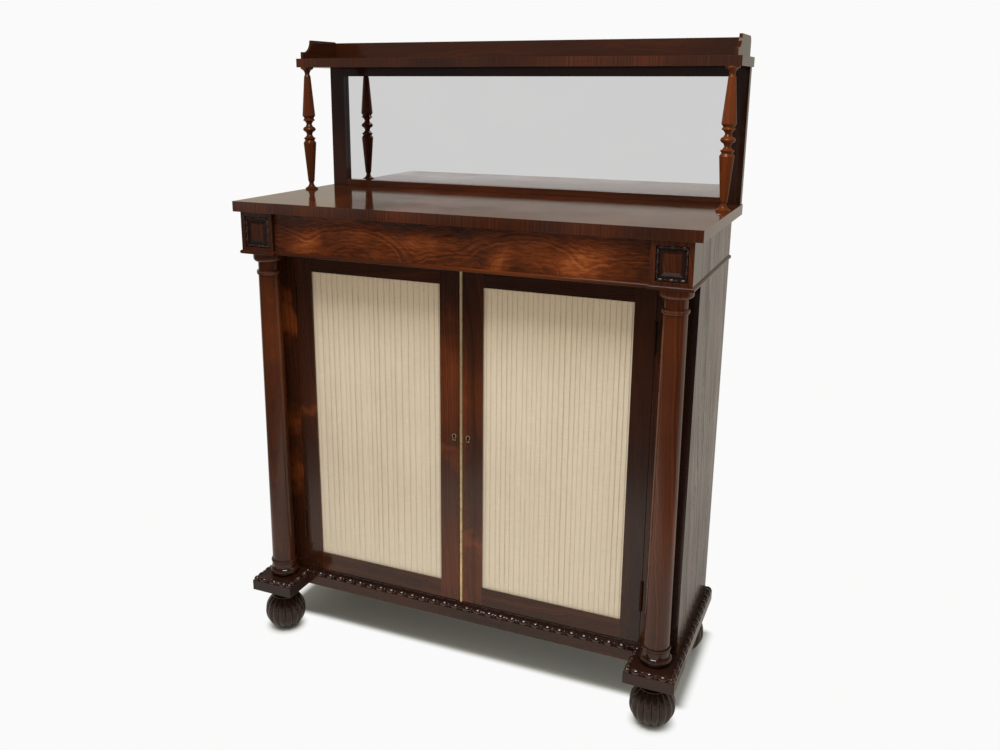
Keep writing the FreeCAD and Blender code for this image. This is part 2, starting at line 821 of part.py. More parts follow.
def make_mirror():
    recess = mirror_recess()
    y = ("mirror_frame_front", "top_rear")
    for side in SIDES:
        name = f"mirror_stile_{side}"
        x = span(side, "mirror_stile_inner", "mirror_frame_half")
        node(cut(board(name + "_blank", x, y, ("top_surface", "upper_shelf_bottom")), recess), name)
    x = across("mirror_stile_inner")
    top_rail = board("mirror_top", x, y, ("mirror_opening_high", "upper_shelf_bottom"))
    node(cut(top_rail, recess), "mirror_top_rail")
    bottom_rail = board("mirror_bottom", x, y, ("top_surface", "mirror_opening_low"))
    node(cut(bottom_rail, recess), "mirror_bottom_rail")
    x = across("mirror_stile_inner + mirror_rebate - mirror_gap")
    z = ("mirror_opening_low - mirror_rebate + mirror_gap", "mirror_opening_high + mirror_rebate - mirror_gap")
    node(board("plate", x, ("mirror_front", "mirror_front + mirror_thickness"), z), "mirror_plate")
    y = ("mirror_back_front", "mirror_back_front + mirror_back_thickness")
    node(board("plate_back", x, y, z), "mirror_backboard")


def make_gallery():
    """Side boards that step up from the front in a cove, and a plain board along the back."""
    cove_end = "gallery_step_length + gallery_cove_length"
    corner = "gallery_length - gallery_corner_radius"
    outline = [
        (0, 0),
        ("gallery_length", 0),
        ("gallery_length", "gallery_height - gallery_corner_radius", QUARTER_ROUND),
        (corner, "gallery_height"),
        (cove_end, "gallery_height", -QUARTER_ROUND),
        ("gallery_step_length", "gallery_step_height"),
        (0, "gallery_step_height"),
    ]
    for side in SIDES:
        name = f"gallery_side_{side}"
        body = new_body(name)
        pad(body, draw(new_sketch(body, "YZ_Plane", name + "_outline"), outline), "gallery_thickness")
        low, high = span(side, "gallery_inner", "gallery_outer")
        node(put(body, low, "upper_shelf_front + gallery_front_inset", "upper_shelf_top"), name)
    node(board("gallery_rear", across("gallery_inner"),
               ("upper_shelf_rear - gallery_thickness", "upper_shelf_rear"),
               ("upper_shelf_top", "upper_shelf_top + gallery_back_height")), "gallery_back")


def spindle_profile():
    """Upper half of the turned outline, from the middle of the bead to the top of the pin."""
    taper_end = "spindle_half - spindle_end_height"
    neck = "spindle_half - spindle_neck_height"
    flare = "spindle_half - spindle_flare_height"
    disc = "spindle_half - spindle_disc_height"
    pin_top = "spindle_half + spindle_pin_length"
    return [
        (0, 0),
        ("spindle_bead_radius", 0, SOFT_BEND),
        ("spindle_bead_edge_radius", "spindle_bead_rise"),
        ("spindle_waist_radius", "spindle_waist_rise", -SOFT_BEND),
        ("spindle_ring_radius", "spindle_ring_rise"),
        ("spindle_groove_radius", "spindle_groove_rise"),
        ("spindle_shoulder_radius", "spindle_shoulder_rise"),
        ("spindle_taper_radius", taper_end),
        ("spindle_neck_radius", neck, -SOFT_BEND),
        ("spindle_flare_radius", flare),
        ("spindle_disc_radius", disc),
        ("spindle_disc_radius", "spindle_half"),
        ("spindle_pin_radius", "spindle_half"),
        ("spindle_pin_radius", pin_top),
        (0, pin_top),
    ]


def make_spindles():
    for side in SIDES:
        name = f"spindle_{side}"
        body = new_body(name)
        upper_half = turn(body, draw(new_sketch(body, "XZ_Plane", name + "_outline"), spindle_profile()))
        mirrored = body.newObject("PartDesign::Mirrored", name + "_mirrored")
        plane = next(feature for feature in body.Origin.OriginFeatures if feature.Role == "XY_Plane")
        mirrored.Originals = [upper_half]
        mirrored.MirrorPlane = (plane, [""])
        body.Tip = mirrored
        put(body, f"{sign(side)} * (spindle_x)", "spindle_y", "top_surface + spindle_half")
        node(body, name)


# Doors

def meeting_edge(side):
    """Distance of a door's meeting edge from the middle, towards the door's own side."""
    if side == "left":
        return "(meeting_offset + meeting_gap / 2)"
    return "(meeting_gap / 2 - meeting_offset)"


def silk_recess(side):
    """The rebated space behind the lip of a door frame."""
    return board(f"{side}_silk_recess",
                 span(side, "meeting_stile_reach - door_rebate", "silk_outer + door_rebate"),
                 ("silk_seat", "door_rear"),
                 ("silk_low - door_rebate", "silk_high + door_rebate"))


def make_door_frame(side, recess):
    y = ("door_front", "door_rear")
    hinge_stile = board(f"{side}_hinge_blank", span(side, "silk_outer", "door_outer"), y,
                        ("door_low", "door_high"))
    recesses = hinge_recesses(f"{side}_stile", side, "door_leaf_inner", "door_outer")
    node(cut(hinge_stile, recess, *recesses), f"{side}_hinge_stile")
    meeting_stile = board(f"{side}_meeting_blank", span(side, meeting_edge(side), "meeting_stile_reach"), y,
                          ("door_low", "door_high"))
    node(cut(meeting_stile, recess, keyway(side)), f"{side}_meeting_stile")
    x = span(side, "meeting_stile_reach", "silk_outer")
    top_rail = board(f"{side}_top_blank", x, y, ("silk_high", "door_high"))
    node(cut(top_rail, recess), f"{side}_top_rail")
    bottom_rail = board(f"{side}_bottom_blank", x, y, ("door_low", "silk_low"))
    node(cut(bottom_rail, recess), f"{side}_bottom_rail")


def make_silk(side):
    """A stretched silk panel in the rebate, held by four thin fillets behind it."""
    inner = "meeting_stile_reach - door_rebate"
    outer = "silk_outer + door_rebate"
    low = "silk_low - door_rebate"
    high = "silk_high + door_rebate"
    node(board(f"{side}_silk", span(side, f"{inner} + silk_gap", f"{outer} - silk_gap"),
               ("silk_front", "silk_rear"), (f"{low} + silk_gap", f"{high} - silk_gap")),
         f"{side}_silk_panel")
    y = ("silk_fillet_front", "silk_fillet_front + silk_fillet_depth")
    between = (f"{low} + silk_fillet_width", f"{high} - silk_fillet_width")
    places = [
        ((inner, outer), (low, between[0])),
        ((inner, outer), (between[1], high)),
        ((inner, f"{inner} + silk_fillet_width"), between),
        ((f"{outer} - silk_fillet_width", outer), between),
    ]
    strips = [board(f"{side}_strip{number}", span(side, *x), y, z) for number, (x, z) in enumerate(places)]
    node(group(f"{side}_strips", strips), f"{side}_silk_fillets")


def make_astragal():
    """The brass half-round on the right door's meeting edge."""
    body = new_body("brass_astragal")
    low = "-(meeting_offset) + meeting_gap / 2 + astragal_gap"
    high = f"{low} + astragal_width"
    bend = 2 * value("astragal_depth") / value("astragal_width")
    outline = [(low, "door_front", bend), (high, "door_front")]
    pad(body, draw(new_sketch(body, "XY_Plane", "astragal_section"), outline), "door_high - (door_low)")
    node(put(body, z="door_low"), "brass_astragal")


# Locks

def keyhole_corners(width, height):
    """A keyhole's outline about the middle of its height: a flared foot and a round head."""
    foot = f"{width} * {KEYHOLE_FOOT}"
    waist = f"{width} * {KEYHOLE_WAIST}"
    low = f"-({height}) / 2"
    waist_height = f"{height} / 2 - {width} * {KEYHOLE_HEAD}"
    return [(f"-({foot})", low), (foot, low), (waist, waist_height, KEYHOLE_HEAD_BEND),
            (f"-({waist})", waist_height)]


def keyway(side):
    """The hole that takes the key through the meeting stile."""
    body = new_body(f"{side}_keyway")
    sketch = new_sketch(body, "XZ_Plane", f"{side}_keyway_outline")
    pad(body, draw(sketch, keyhole_corners("keyhole_width", "keyhole_height")), "door_thickness", reverse=True)
    return put(body, f"{sign(side)} * keyhole_offset", "door_front", "lock_z")


def make_lock(side):
    """A keyhole plate on the stile's face and a lock case, its bolt drawn back, on the inside."""
    name = f"{side}_escutcheon"
    body = new_body(name)
    rim = new_sketch(body, "XZ_Plane", name + "_rim")
    pad(body, draw(rim, keyhole_corners("escutcheon_width", "escutcheon_height")), "escutcheon_thickness")
    hole = new_sketch(body, "XZ_Plane", name + "_hole", "escutcheon_thickness")
    pocket(body, draw(hole, keyhole_corners("keyhole_width", "keyhole_height")), "escutcheon_thickness")
    node(put(body, f"{sign(side)} * keyhole_offset", "door_front", "lock_z"), name)
    edge = f"{meeting_edge(side)} + lock_edge_gap"
    node(board(f"{side}_lock_case", span(side, edge, f"{edge} + lock_width"),
               ("door_rear", "door_rear + lock_thickness"), about("lock_z", "lock_height")), f"{side}_lock")


# Hinges

def hinge_recesses(name, side, inner, outer):
    """What each hinge takes out of a wooden edge: a bed for the leaf and room for the knuckles."""
    tools = []
    for level, centre in HINGE_HEIGHTS.items():
        z = about(centre, "hinge_height")
        tools.append(board(f"{name}_{level}_bed", span(side, inner, outer), ("door_front", "leaf_rear"), z))
        tools.append(rod(f"{name}_{level}_relief", "knuckle_radius + knuckle_relief", z,
                         f"{sign(side)} * (hinge_x)", "hinge_y"))
    return tools


def hinge_leaf(name, side, centre, inner, outer, knuckles):
    """One leaf with its knuckles, as a list of solids to fuse."""
    plate = board(name + "_plate", span(side, inner, outer), ("leaf_front", "leaf_rear"),
                  about(centre, "hinge_height"))
    pieces = [plate]
    for number, z in enumerate(knuckles):
        tongue_y = ("hinge_y", "leaf_front")
        pieces.append(board(f"{name}_tongue{number}", span(side, inner, outer), tongue_y, z))
        pieces.append(rod(f"{name}_knuckle{number}", "knuckle_radius", z, f"{sign(side)} * (hinge_x)",
                          "hinge_y"))
    return pieces


def door_hinge_leaf(side, level, centre):
    """The door's leaf has the middle third of the knuckle, bored for the pin."""
    name = f"{side}_{level}_door_leaf"
    z = about(centre, "hinge_height / 3 - knuckle_end_gap * 2")
    leaf = fuse(name, *hinge_leaf(name, side, centre, "door_leaf_inner", "door_leaf_outer", [z]))
    bore = rod(name + "_bore", "hinge_pin_radius + hinge_pin_gap", z, f"{sign(side)} * (hinge_x)", "hinge_y")
    return cut(leaf, bore)


def carcase_hinge_leaf(side, level, centre):
    """The carcase's leaf has the outer thirds of the knuckle and the pin."""
    name = f"{side}_{level}_carcase_leaf"
    whole = about(centre, "hinge_height")
    middle = about(centre, "hinge_height / 3")
    knuckles = [(whole[0], middle[0]), (middle[1], whole[1])]
    pin = rod(name + "_pin", "hinge_pin_radius", whole, f"{sign(side)} * (hinge_x)", "hinge_y")
    leaf = hinge_leaf(name, side, centre, "carcase_leaf_inner", "carcase_leaf_outer", knuckles)
    return fuse(name, pin, *leaf)


def make_hinges():
    carcase_leaves = []
    for side in SIDES:
        door_leaves = []
        for level, centre in HINGE_HEIGHTS.items():
            door_leaves.append(door_hinge_leaf(side, level, centre))
            carcase_leaves.append(carcase_hinge_leaf(side, level, centre))
        node(group(f"{side}_door_leaves", door_leaves), f"{side}_hinge_leaves")
    node(group("carcase_leaves", carcase_leaves), "carcase_hinge_leaves")


def make_doors():
    for side in SIDES:
        make_door_frame(side, silk_recess(side))
        make_silk(side)
        make_lock(side)
    make_astragal()
    make_hinges()


def check_model():
    """Stop if an object failed, or a sub-part has no sound shape."""
    for thing in doc.Objects:
        if {"Invalid", "Error"} & set(thing.State):
            raise RuntimeError(f"{thing.Label} failed: {thing.State}")
    for thing in nodes:
        if thing.Shape.isNull() or not thing.Shape.isValid():
            raise RuntimeError(f"{thing.Label} has no valid shape")


def write_parts():
    os.makedirs("parts", exist_ok=True)
    for thing in nodes:
        thing.Shape.exportStep(os.path.join("parts", thing.Label + ".step"))


def main():
    fill_sheet()
    make_feet()
    make_plinth_blocks()
    make_plinth_rails()
    make_base_board()
    make_bead_moulding()
    make_side_panels()
    make_pilasters()
    make_columns()
    make_corner_blocks()
    make_frieze()
    make_ceiling()
    make_back_boards()
    make_inner_shelf()
    make_top()
    make_mirror()
    make_upper_shelf()
    make_gallery()
    make_spindles()
    make_doors()
    doc.recompute()
    check_model()
    write_parts()


main()
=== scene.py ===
import math
import random

import bmesh
import bpy
from mathutils import Matrix, Vector


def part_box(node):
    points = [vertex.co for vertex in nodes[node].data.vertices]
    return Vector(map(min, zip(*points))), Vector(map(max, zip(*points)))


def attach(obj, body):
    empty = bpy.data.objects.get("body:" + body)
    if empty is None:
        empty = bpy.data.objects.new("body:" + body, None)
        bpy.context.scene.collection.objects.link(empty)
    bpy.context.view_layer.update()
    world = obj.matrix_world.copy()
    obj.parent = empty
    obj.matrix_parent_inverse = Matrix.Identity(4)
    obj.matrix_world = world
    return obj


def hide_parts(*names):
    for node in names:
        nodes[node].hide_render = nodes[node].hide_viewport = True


# A rosewood chiffonier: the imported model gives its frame, doors and turned work. This script adds the
# bead-and-reel carving, the pleated silk, the screws, the tongues between the back's planks and every
# finish. Lengths are in metres.

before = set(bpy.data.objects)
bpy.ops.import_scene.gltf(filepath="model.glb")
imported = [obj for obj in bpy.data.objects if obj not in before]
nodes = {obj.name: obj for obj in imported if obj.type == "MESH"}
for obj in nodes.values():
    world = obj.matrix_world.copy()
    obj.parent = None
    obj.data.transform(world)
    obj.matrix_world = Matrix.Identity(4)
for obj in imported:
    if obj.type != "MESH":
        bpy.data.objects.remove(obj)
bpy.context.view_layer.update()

SIDES = ("left", "right")


def sign(side):
    return -1 if side == "left" else 1


# Materials

def rgba(colour):
    """What a colour socket takes: a link stays as it is, and three numbers get an alpha of 1."""
    return colour if isinstance(colour, bpy.types.NodeSocket) else (*colour, 1.0)


class Paint:
    """A procedural material, built node by node around one Principled surface."""

    def __init__(self, name, **surface):
        self.material = bpy.data.materials.new(name)
        self.material.use_nodes = True
        self.tree = self.material.node_tree
        self.surface = self.tree.nodes["Principled BSDF"]
        for socket, value in surface.items():
            self.surface.inputs[socket.replace("_", " ")].default_value = value

    def node(self, kind, feeds=None, **settings):
        made = self.tree.nodes.new("ShaderNode" + kind)
        for key, value in settings.items():
            setattr(made, key, value)
        for socket, value in (feeds or {}).items():
            self.feed(made.inputs[socket], value)
        return made

    def feed(self, socket, value):
        if isinstance(value, bpy.types.NodeSocket):
            self.tree.links.new(value, socket)
        else:
            socket.default_value = value

    def math(self, operation, *values, clamp=False):
        made = self.node("Math", operation=operation, use_clamp=clamp)
        for socket, value in zip(made.inputs, values):
            self.feed(socket, value)
        return made.outputs[0]

    def vector(self, operation, *values):
        made = self.node("VectorMath", operation=operation)
        for socket, value in zip(made.inputs, values):
            self.feed(socket, value)
        return made.outputs["Value" if operation in ("DOT_PRODUCT", "LENGTH") else "Vector"]

    def place(self):
        return self.node("TexCoord").outputs["Object"]

    def parts(self, vector):
        return self.node("SeparateXYZ", {"Vector": vector}).outputs

    def combine(self, x, y, z):
        return self.node("CombineXYZ", {"X": x, "Y": y, "Z": z}).outputs[0]

    def noise(self, vector, scale, detail=2.0, roughness=0.5, output="Fac"):
        return self.node("TexNoise", {"Vector": vector, "Scale": scale, "Detail": detail,
                                      "Roughness": roughness}).outputs[output]

    def noise_along(self, distance, detail=3.0, roughness=0.55):
        return self.node("TexNoise", {"W": distance, "Scale": 1.0, "Detail": detail,
                                      "Roughness": roughness}, noise_dimensions="1D").outputs["Fac"]

    def ramp(self, factor, stops):
        made = self.node("ValToRGB", {"Fac": factor})
        elements = made.color_ramp.elements
        while len(elements) < len(stops):
            elements.new(0.5)
        for element, (place, colour) in zip(elements, stops):
            element.position = place
            element.color = rgba(colour)
        return made.outputs["Color"]

    def blend(self, factor, first, second, kind="MIX"):
        return self.node("Mix", {0: factor, 6: rgba(first), 7: rgba(second)}, data_type="RGBA",
                         blend_type=kind).outputs[2]

    def dim(self, colour, share):
        """The colour, times a share that changes from place to place."""
        return self.blend(1.0, colour, self.combine(share, share, share), "MULTIPLY")

    def choose(self, factor, first, second):
        """The first shader where the factor is 0, and the second where it is 1."""
        return self.node("MixShader", {"Fac": factor, 1: first, 2: second}).outputs[0]

    def step(self, value, low, high, to_low=0.0, to_high=1.0):
        """A smooth change from to_low to to_high as value goes from low to high."""
        return self.node("MapRange", {"Value": value, "From Min": low, "From Max": high, "To Min": to_low,
                                      "To Max": to_high}, interpolation_type="SMOOTHSTEP").outputs[0]

    def centred(self, value, reach):
        """A value between 0 and 1, moved so that it swings round zero."""
        return self.math("MULTIPLY", self.math("SUBTRACT", value, 0.5), reach)

    def drift(self, vector, scale, detail, roughness, reach):
        """A random shift, by up to half of reach to both sides of zero."""
        drawn = self.noise(vector, scale, detail, roughness, "Color")
        return self.vector("MULTIPLY", self.vector("SUBTRACT", drawn, (0.5, 0.5, 0.5)), reach)

    def worn_and_highlit_edge(self, radius):
        """1 on the outer few tenths of a millimetre of an arris, 0 on open faces."""
        rounded = self.node("Bevel", {"Radius": radius}, samples=4).outputs[0]
        flat = self.node("NewGeometry").outputs["Normal"]
        return self.step(self.vector("DOT_PRODUCT", rounded, flat), 0.985, 0.80)

    def finish(self, colour=None, roughness=None, height=None, relief=0.0002):
        if colour is not None:
            self.feed(self.surface.inputs["Base Color"], colour)
        if roughness is not None:
            self.feed(self.surface.inputs["Roughness"], roughness)
        if height is not None:
            bump = self.node("Bump", {"Height": height, "Distance": relief})
            self.feed(self.surface.inputs["Normal"], bump.outputs["Normal"])
        return self.material


# How the grain's own frame, with Z along the fibres, is turned from the object's frame
GRAIN_TURNS = {"x": (0, -math.pi / 2, 0), "y": (math.pi / 2, 0, 0), "z": (0, 0, 0)}
# Rosewood's colours, from its darkest streaks to its flames
ROSEWOOD = [
    (0.00, (0.016, 0.0056, 0.0034)),
    (0.30, (0.042, 0.0115, 0.0042)),
    (0.50, (0.094, 0.0212, 0.0052)),
    (0.75, (0.182, 0.0425, 0.0100)),
    (1.00, (0.325, 0.0890, 0.0220)),
]
# The colour of a rubbed arris, lightened also as a painted highlight, and how far the rubbing and the
# painted highlight reach in from it
RUBBED_AND_HIGHLIT = (0.125, 0.042, 0.017)
RUB_AND_HIGHLIGHT = 0.0010
# The usual polish: its specular level and its least roughness
SHINE = 0.5
GLOSS = 0.08
# Where a board is cut, from the heart of its log, and how far the log leans
LOG_PLACE = (0.35, 0.8, 0.0)
LOG_LEAN = 0.05
# Plain stained boards, and the same boards stained nearly as dark as rosewood, which on the base board's
# ledge is also painted shade
PLAIN_WOOD = [(0.25, (0.082, 0.043, 0.021)), (0.50, (0.122, 0.067, 0.033)), (0.75, (0.160, 0.092, 0.047))]
DARK_STAIN_AND_SHADE = [(0.25, (0.012, 0.0045, 0.0030)), (0.75, (0.038, 0.0120, 0.0055))]


def grain_frame(paint, place, grain, seed):
    """The place in the fibres' own frame, moved so that each board is cut from elsewhere in the log."""
    pick = random.Random(seed)
    shift = [pick.uniform(-0.6, 0.6) for _ in range(3)]
    turned = paint.node("Mapping", {"Vector": place, "Rotation": GRAIN_TURNS[grain]}).outputs[0]
    return paint.vector("ADD", turned, shift)


def streaks(paint, place, wander, pitch):
    """How far out in the log a point lies, counted in growth rings of one pitch."""
    slow = paint.vector("MULTIPLY", place, (1.0, 1.0, 0.20))
    moved = paint.vector("ADD", place, paint.drift(slow, 6.0, 3.0, 0.55, (0.085 * wander,) * 3))
    moved = paint.vector("ADD", moved, paint.drift(place, 30.0, 2.0, 0.5, (0.006 * wander,) * 3))
    x, y, z = paint.parts(paint.vector("ADD", moved, LOG_PLACE))
    lean = paint.math("MULTIPLY", z, LOG_LEAN)
    ring = paint.vector("LENGTH", paint.combine(paint.math("ADD", x, lean), y, 0.0))
    return paint.math("DIVIDE", ring, pitch)


def fibres(paint, place):
    """Short dark pores along the grain."""
    stretched = paint.vector("MULTIPLY", place, (1.0, 1.0, 0.045))
    return paint.noise(stretched, 900.0, 2.0, 0.6)


def polish_wood(paint, rings, place, level, glow, contrast=1.0, wear_and_highlight=RUB_AND_HIGHLIGHT, gloss=GLOSS, dulled=0.0):
    """Turns ring distances into a french-polished surface. level sets how light the board is, the wear reach
    how far its arrises are rubbed and lightened as a painted highlight, and dulled how far the polish has
    sunk along the grain's soft streaks."""
    broad = paint.centred(paint.noise_along(rings, 4.0, 0.62), 0.62 * contrast)
    fine = paint.math("SUBTRACT", paint.noise_along(paint.math("MULTIPLY", rings, 3.4), 3.0, 0.6), 0.5)
    pores = fibres(paint, place)
    figure = paint.math("ADD", broad, paint.math("MULTIPLY", fine, 0.50 * contrast))
    mixed = paint.math("ADD", paint.math("ADD", figure, level), glow)
    mixed = paint.math("SUBTRACT", mixed, paint.step(pores, 0.56, 0.74, 0.0, 0.10), clamp=True)
    colour = paint.ramp(mixed, ROSEWOOD)
    smear = paint.noise(place, 9.0, 3.0, 0.6)
    roughness = paint.step(smear, 0.3, 0.7, gloss, gloss + 0.07)
    if dulled:
        roughness = paint.math("ADD", roughness, paint.step(figure, -0.10, 0.12, dulled, 0.0))
    # Lighter arrises: partly real rubbing, partly a painted highlight.
    if wear_and_highlight:
        edge = paint.math("MULTIPLY", paint.worn_and_highlit_edge(wear_and_highlight), paint.step(smear, 0.35, 0.65, 0.15, 0.7))
        colour = paint.blend(edge, colour, RUBBED_AND_HIGHLIT)
        roughness = paint.math("ADD", roughness, paint.math("MULTIPLY", edge, 0.12))
    height = paint.math("ADD", paint.math("MULTIPLY", pores, -0.2), paint.math("MULTIPLY", fine, 0.25))
    return paint.finish(colour, roughness, height, 0.00008)


def bell(paint, distance, width):
    """1 where the distance is 0, falling off smoothly over about the width."""
    share = paint.math("DIVIDE", distance, width)
    return paint.math("EXPONENT", paint.math("MULTIPLY", paint.math("MULTIPLY", share, share), -1.0))


def rosewood(name, grain, level, contrast, seed, pitch, wear_and_highlight=RUB_AND_HIGHLIGHT, flames=(), shine=SHINE, gloss=GLOSS,
             shade=None, dulled=0.0):
    """Rosewood cut along a log. flames = (place along the grain, half length, strength) of light patches.
    The (y, before, behind) shade argument darkens what lies before and behind y by those amounts, as painted
    shade."""
    paint = Paint(name, IOR=1.5, Specular_IOR_Level=shine)
    object_place = paint.place()
    place = grain_frame(paint, object_place, grain, seed)
    cloud = paint.noise(paint.vector("MULTIPLY", place, (1.0, 1.0, 0.45)), 6.5, 2.0, 0.5)
    glow = paint.centred(cloud, 0.55)
    along = paint.parts(object_place)[grain.upper()]
    ragged = paint.centred(paint.noise(object_place, 22.0, 2.0), 0.16)
    for centre, half_length, strength in flames:
        distance = paint.math("ADD", paint.math("SUBTRACT", along, centre), ragged)
        patch = paint.math("MULTIPLY", bell(paint, distance, half_length), strength)
        glow = paint.math("ADD", glow, patch)
    # Painted shade: darker on one side of a depth along Y, for sunk squares and edges in shadow.
    if shade:
        y, before, behind = shade
        depth = paint.math("SUBTRACT", paint.parts(object_place)["Y"], y)
        glow = paint.math("SUBTRACT", glow, paint.step(depth, 0.0012, 0.0030, before, behind))
    rings = streaks(paint, place, 1.0, pitch)
    return polish_wood(paint, rings, place, level, glow, contrast, wear_and_highlight, gloss, dulled)


# The ring pitch of the slabs' top faces and of their crossbanded edges
SLAB_PITCH = 0.010
BAND_PITCH = 0.0045


def banded_rosewood(name, level, edge_level, seed, shine=SHINE):
    """A slab whose edges are crossbanded: their grain runs upright."""
    paint = Paint(name, IOR=1.5, Specular_IOR_Level=shine)
    place = paint.place()
    along = grain_frame(paint, place, "x", seed)
    upright = grain_frame(paint, place, "z", seed + 1)
    normal = paint.parts(paint.node("NewGeometry").outputs["Normal"])
    top = paint.step(paint.math("ABSOLUTE", normal["Z"]), 0.4, 0.6)
    lengthwise = streaks(paint, along, 1.0, SLAB_PITCH)
    sway = paint.vector("MULTIPLY", paint.noise(upright, 30.0, 2.0, 0.5, "Color"), (0.004, 0.004, 0.0))
    banded = paint.math("DIVIDE", paint.parts(paint.vector("ADD", upright, sway))["X"], BAND_PITCH)
    rings = paint.math("ADD", paint.math("MULTIPLY", lengthwise, top),
                       paint.math("MULTIPLY", banded, paint.math("SUBTRACT", 1.0, top)))
    cloud = paint.noise(paint.vector("MULTIPLY", place, (1.0, 0.3, 0.3)), 7.0, 2.0, 0.55)
    glow = paint.centred(cloud, 0.8)
    glow = paint.math("ADD", glow, paint.step(top, 0.0, 1.0, edge_level - level, 0.0))
    return polish_wood(paint, rings, along, level, glow, 0.8, gloss=0.06)


# The frieze's figure: hearts of the nested arches, and flames as (x, height above the frieze's foot, half
# length, half height, strength). Both are placed along the frieze and up from its foot.
FRIEZE_ARCHES = ((-0.205, 0.004), (0.152, 0.010), (0.020, -0.030), (0.352, -0.012), (-0.400, 0.000))
FRIEZE_FLAMES = ((-0.305, 0.026, 0.030, 0.034, 0.34), (-0.050, 0.046, 0.085, 0.022, 0.24),
                 (0.098, 0.014, 0.018, 0.034, 0.34), (0.262, 0.036, 0.052, 0.038, 0.42),
                 (-0.150, 0.060, 0.070, 0.018, 0.14), (0.170, 0.066, 0.100, 0.016, 0.16))
# The arches' ring pitch, how flat they are, how softly they meet, and how far the flames lean
FRIEZE_PITCH = 0.0040
ARCH_FLATNESS = 0.50
ARCH_MEETING = 0.016
FLAME_LEAN = 0.55


def frieze_veneer(name, low):
    """Flame-figured veneer: fine arched rings side by side, with light flames between them, and painted
    shade along its top.
    """
    paint = Paint(name, IOR=1.5)
    place = paint.place()
    x, y, z = paint.parts(place)
    up = paint.math("SUBTRACT", z, low)
    rough = paint.parts(paint.drift(place, 20.0, 5.0, 0.66, (0.024, 0.0, 0.018)))
    wander_x = paint.math("ADD", x, rough["X"])
    wander_up = paint.math("ADD", up, rough["Z"])
    nearest = None
    for centre, rise in FRIEZE_ARCHES:
        across = paint.math("MULTIPLY", paint.math("SUBTRACT", wander_x, centre), ARCH_FLATNESS)
        away = paint.vector("LENGTH", paint.combine(across, 0.0, paint.math("SUBTRACT", wander_up, rise)))
        if nearest is None:
            nearest = away
        else:
            nearest = paint.math("SMOOTH_MIN", nearest, away, ARCH_MEETING)
    rings = paint.math("DIVIDE", nearest, FRIEZE_PITCH)
    cloud = paint.noise(paint.vector("MULTIPLY", place, (1.0, 1.0, 2.0)), 9.0, 2.0)
    glow = paint.centred(cloud, 0.5)
    for centre, rise, half_length, half_height, strength in FRIEZE_FLAMES:
        above = paint.math("SUBTRACT", wander_up, rise)
        beside = paint.math("SUBTRACT", paint.math("SUBTRACT", wander_x, centre),
                            paint.math("MULTIPLY", above, FLAME_LEAN))
        patch = paint.math("MULTIPLY", bell(paint, beside, half_length), bell(paint, above, half_height))
        glow = paint.math("ADD", glow, paint.math("MULTIPLY", patch, strength))
    # Painted shade: darker towards the top, under the top slab's overhang.
    glow = paint.math("ADD", glow, paint.step(up, 0.040, 0.084, 0.0, -0.08))
    drawn = paint.vector("MULTIPLY", paint.combine(wander_x, y, wander_up), (0.16, 1.0, 1.0))
    feathers = paint.noise(drawn, 230.0, 3.0, 0.6)
    glow = paint.math("ADD", glow, paint.step(feathers, 0.32, 0.68, -0.11, 0.11))
    place = grain_frame(paint, place, "x", 5)
    return polish_wood(paint, rings, place, 0.43, glow, 0.80, gloss=0.06)


def board_wood(name, grain, seed, tone=1.0, stain_and_shade=None):
    """Plain stained boards: inner faces, backs and bearers. A given (half width, front) bounds the space
    outside which the board is stained as dark as the rosewood round it, a darkness that is also painted
    shade on the shaded ledge before the doors."""
    paint = Paint(name, IOR=1.45)
    object_place = paint.place()
    place = grain_frame(paint, object_place, grain, seed)
    rings = streaks(paint, place, 0.5, 0.006)
    broad = paint.noise_along(rings, 3.0, 0.55)
    pores = fibres(paint, place)
    stain = paint.noise(place, 4.0, 3.0, 0.6)
    mixed = paint.math("SUBTRACT", broad, paint.step(pores, 0.58, 0.75, 0.0, 0.12))
    colour = paint.ramp(mixed, [(at, tuple(share * tone for share in stop)) for at, stop in PLAIN_WOOD])
    colour = paint.dim(colour, paint.step(stain, 0.25, 0.75, 0.7, 1.15))
    roughness = paint.step(stain, 0.3, 0.7, 0.50, 0.70)
    # Stain and painted shade: the board is darker and glossier outside the given space, on the shaded ledge
    # before the doors.
    if stain_and_shade:
        half_width, front = stain_and_shade
        spot = paint.parts(object_place)
        beside = paint.step(paint.math("ABSOLUTE", spot["X"]), half_width, half_width + 0.001)
        before = paint.step(spot["Y"], front, front - 0.001)
        outside = paint.math("MAXIMUM", beside, before)
        colour = paint.blend(outside, colour, paint.ramp(mixed, DARK_STAIN_AND_SHADE))
        roughness = paint.math("SUBTRACT", roughness, paint.math("MULTIPLY", outside, 0.35))
    return paint.finish(colour, roughness, pores, 0.0002)


# What tarnish leaves of brass's colour, the line of a scarf joint, and the colour of painted shade on metal
# in the shadow beside the columns
TARNISHED = 0.42
SCARF_LINE = (0.02, 0.014, 0.008)
BRASS_SHADE = (0.070, 0.028, 0.017)


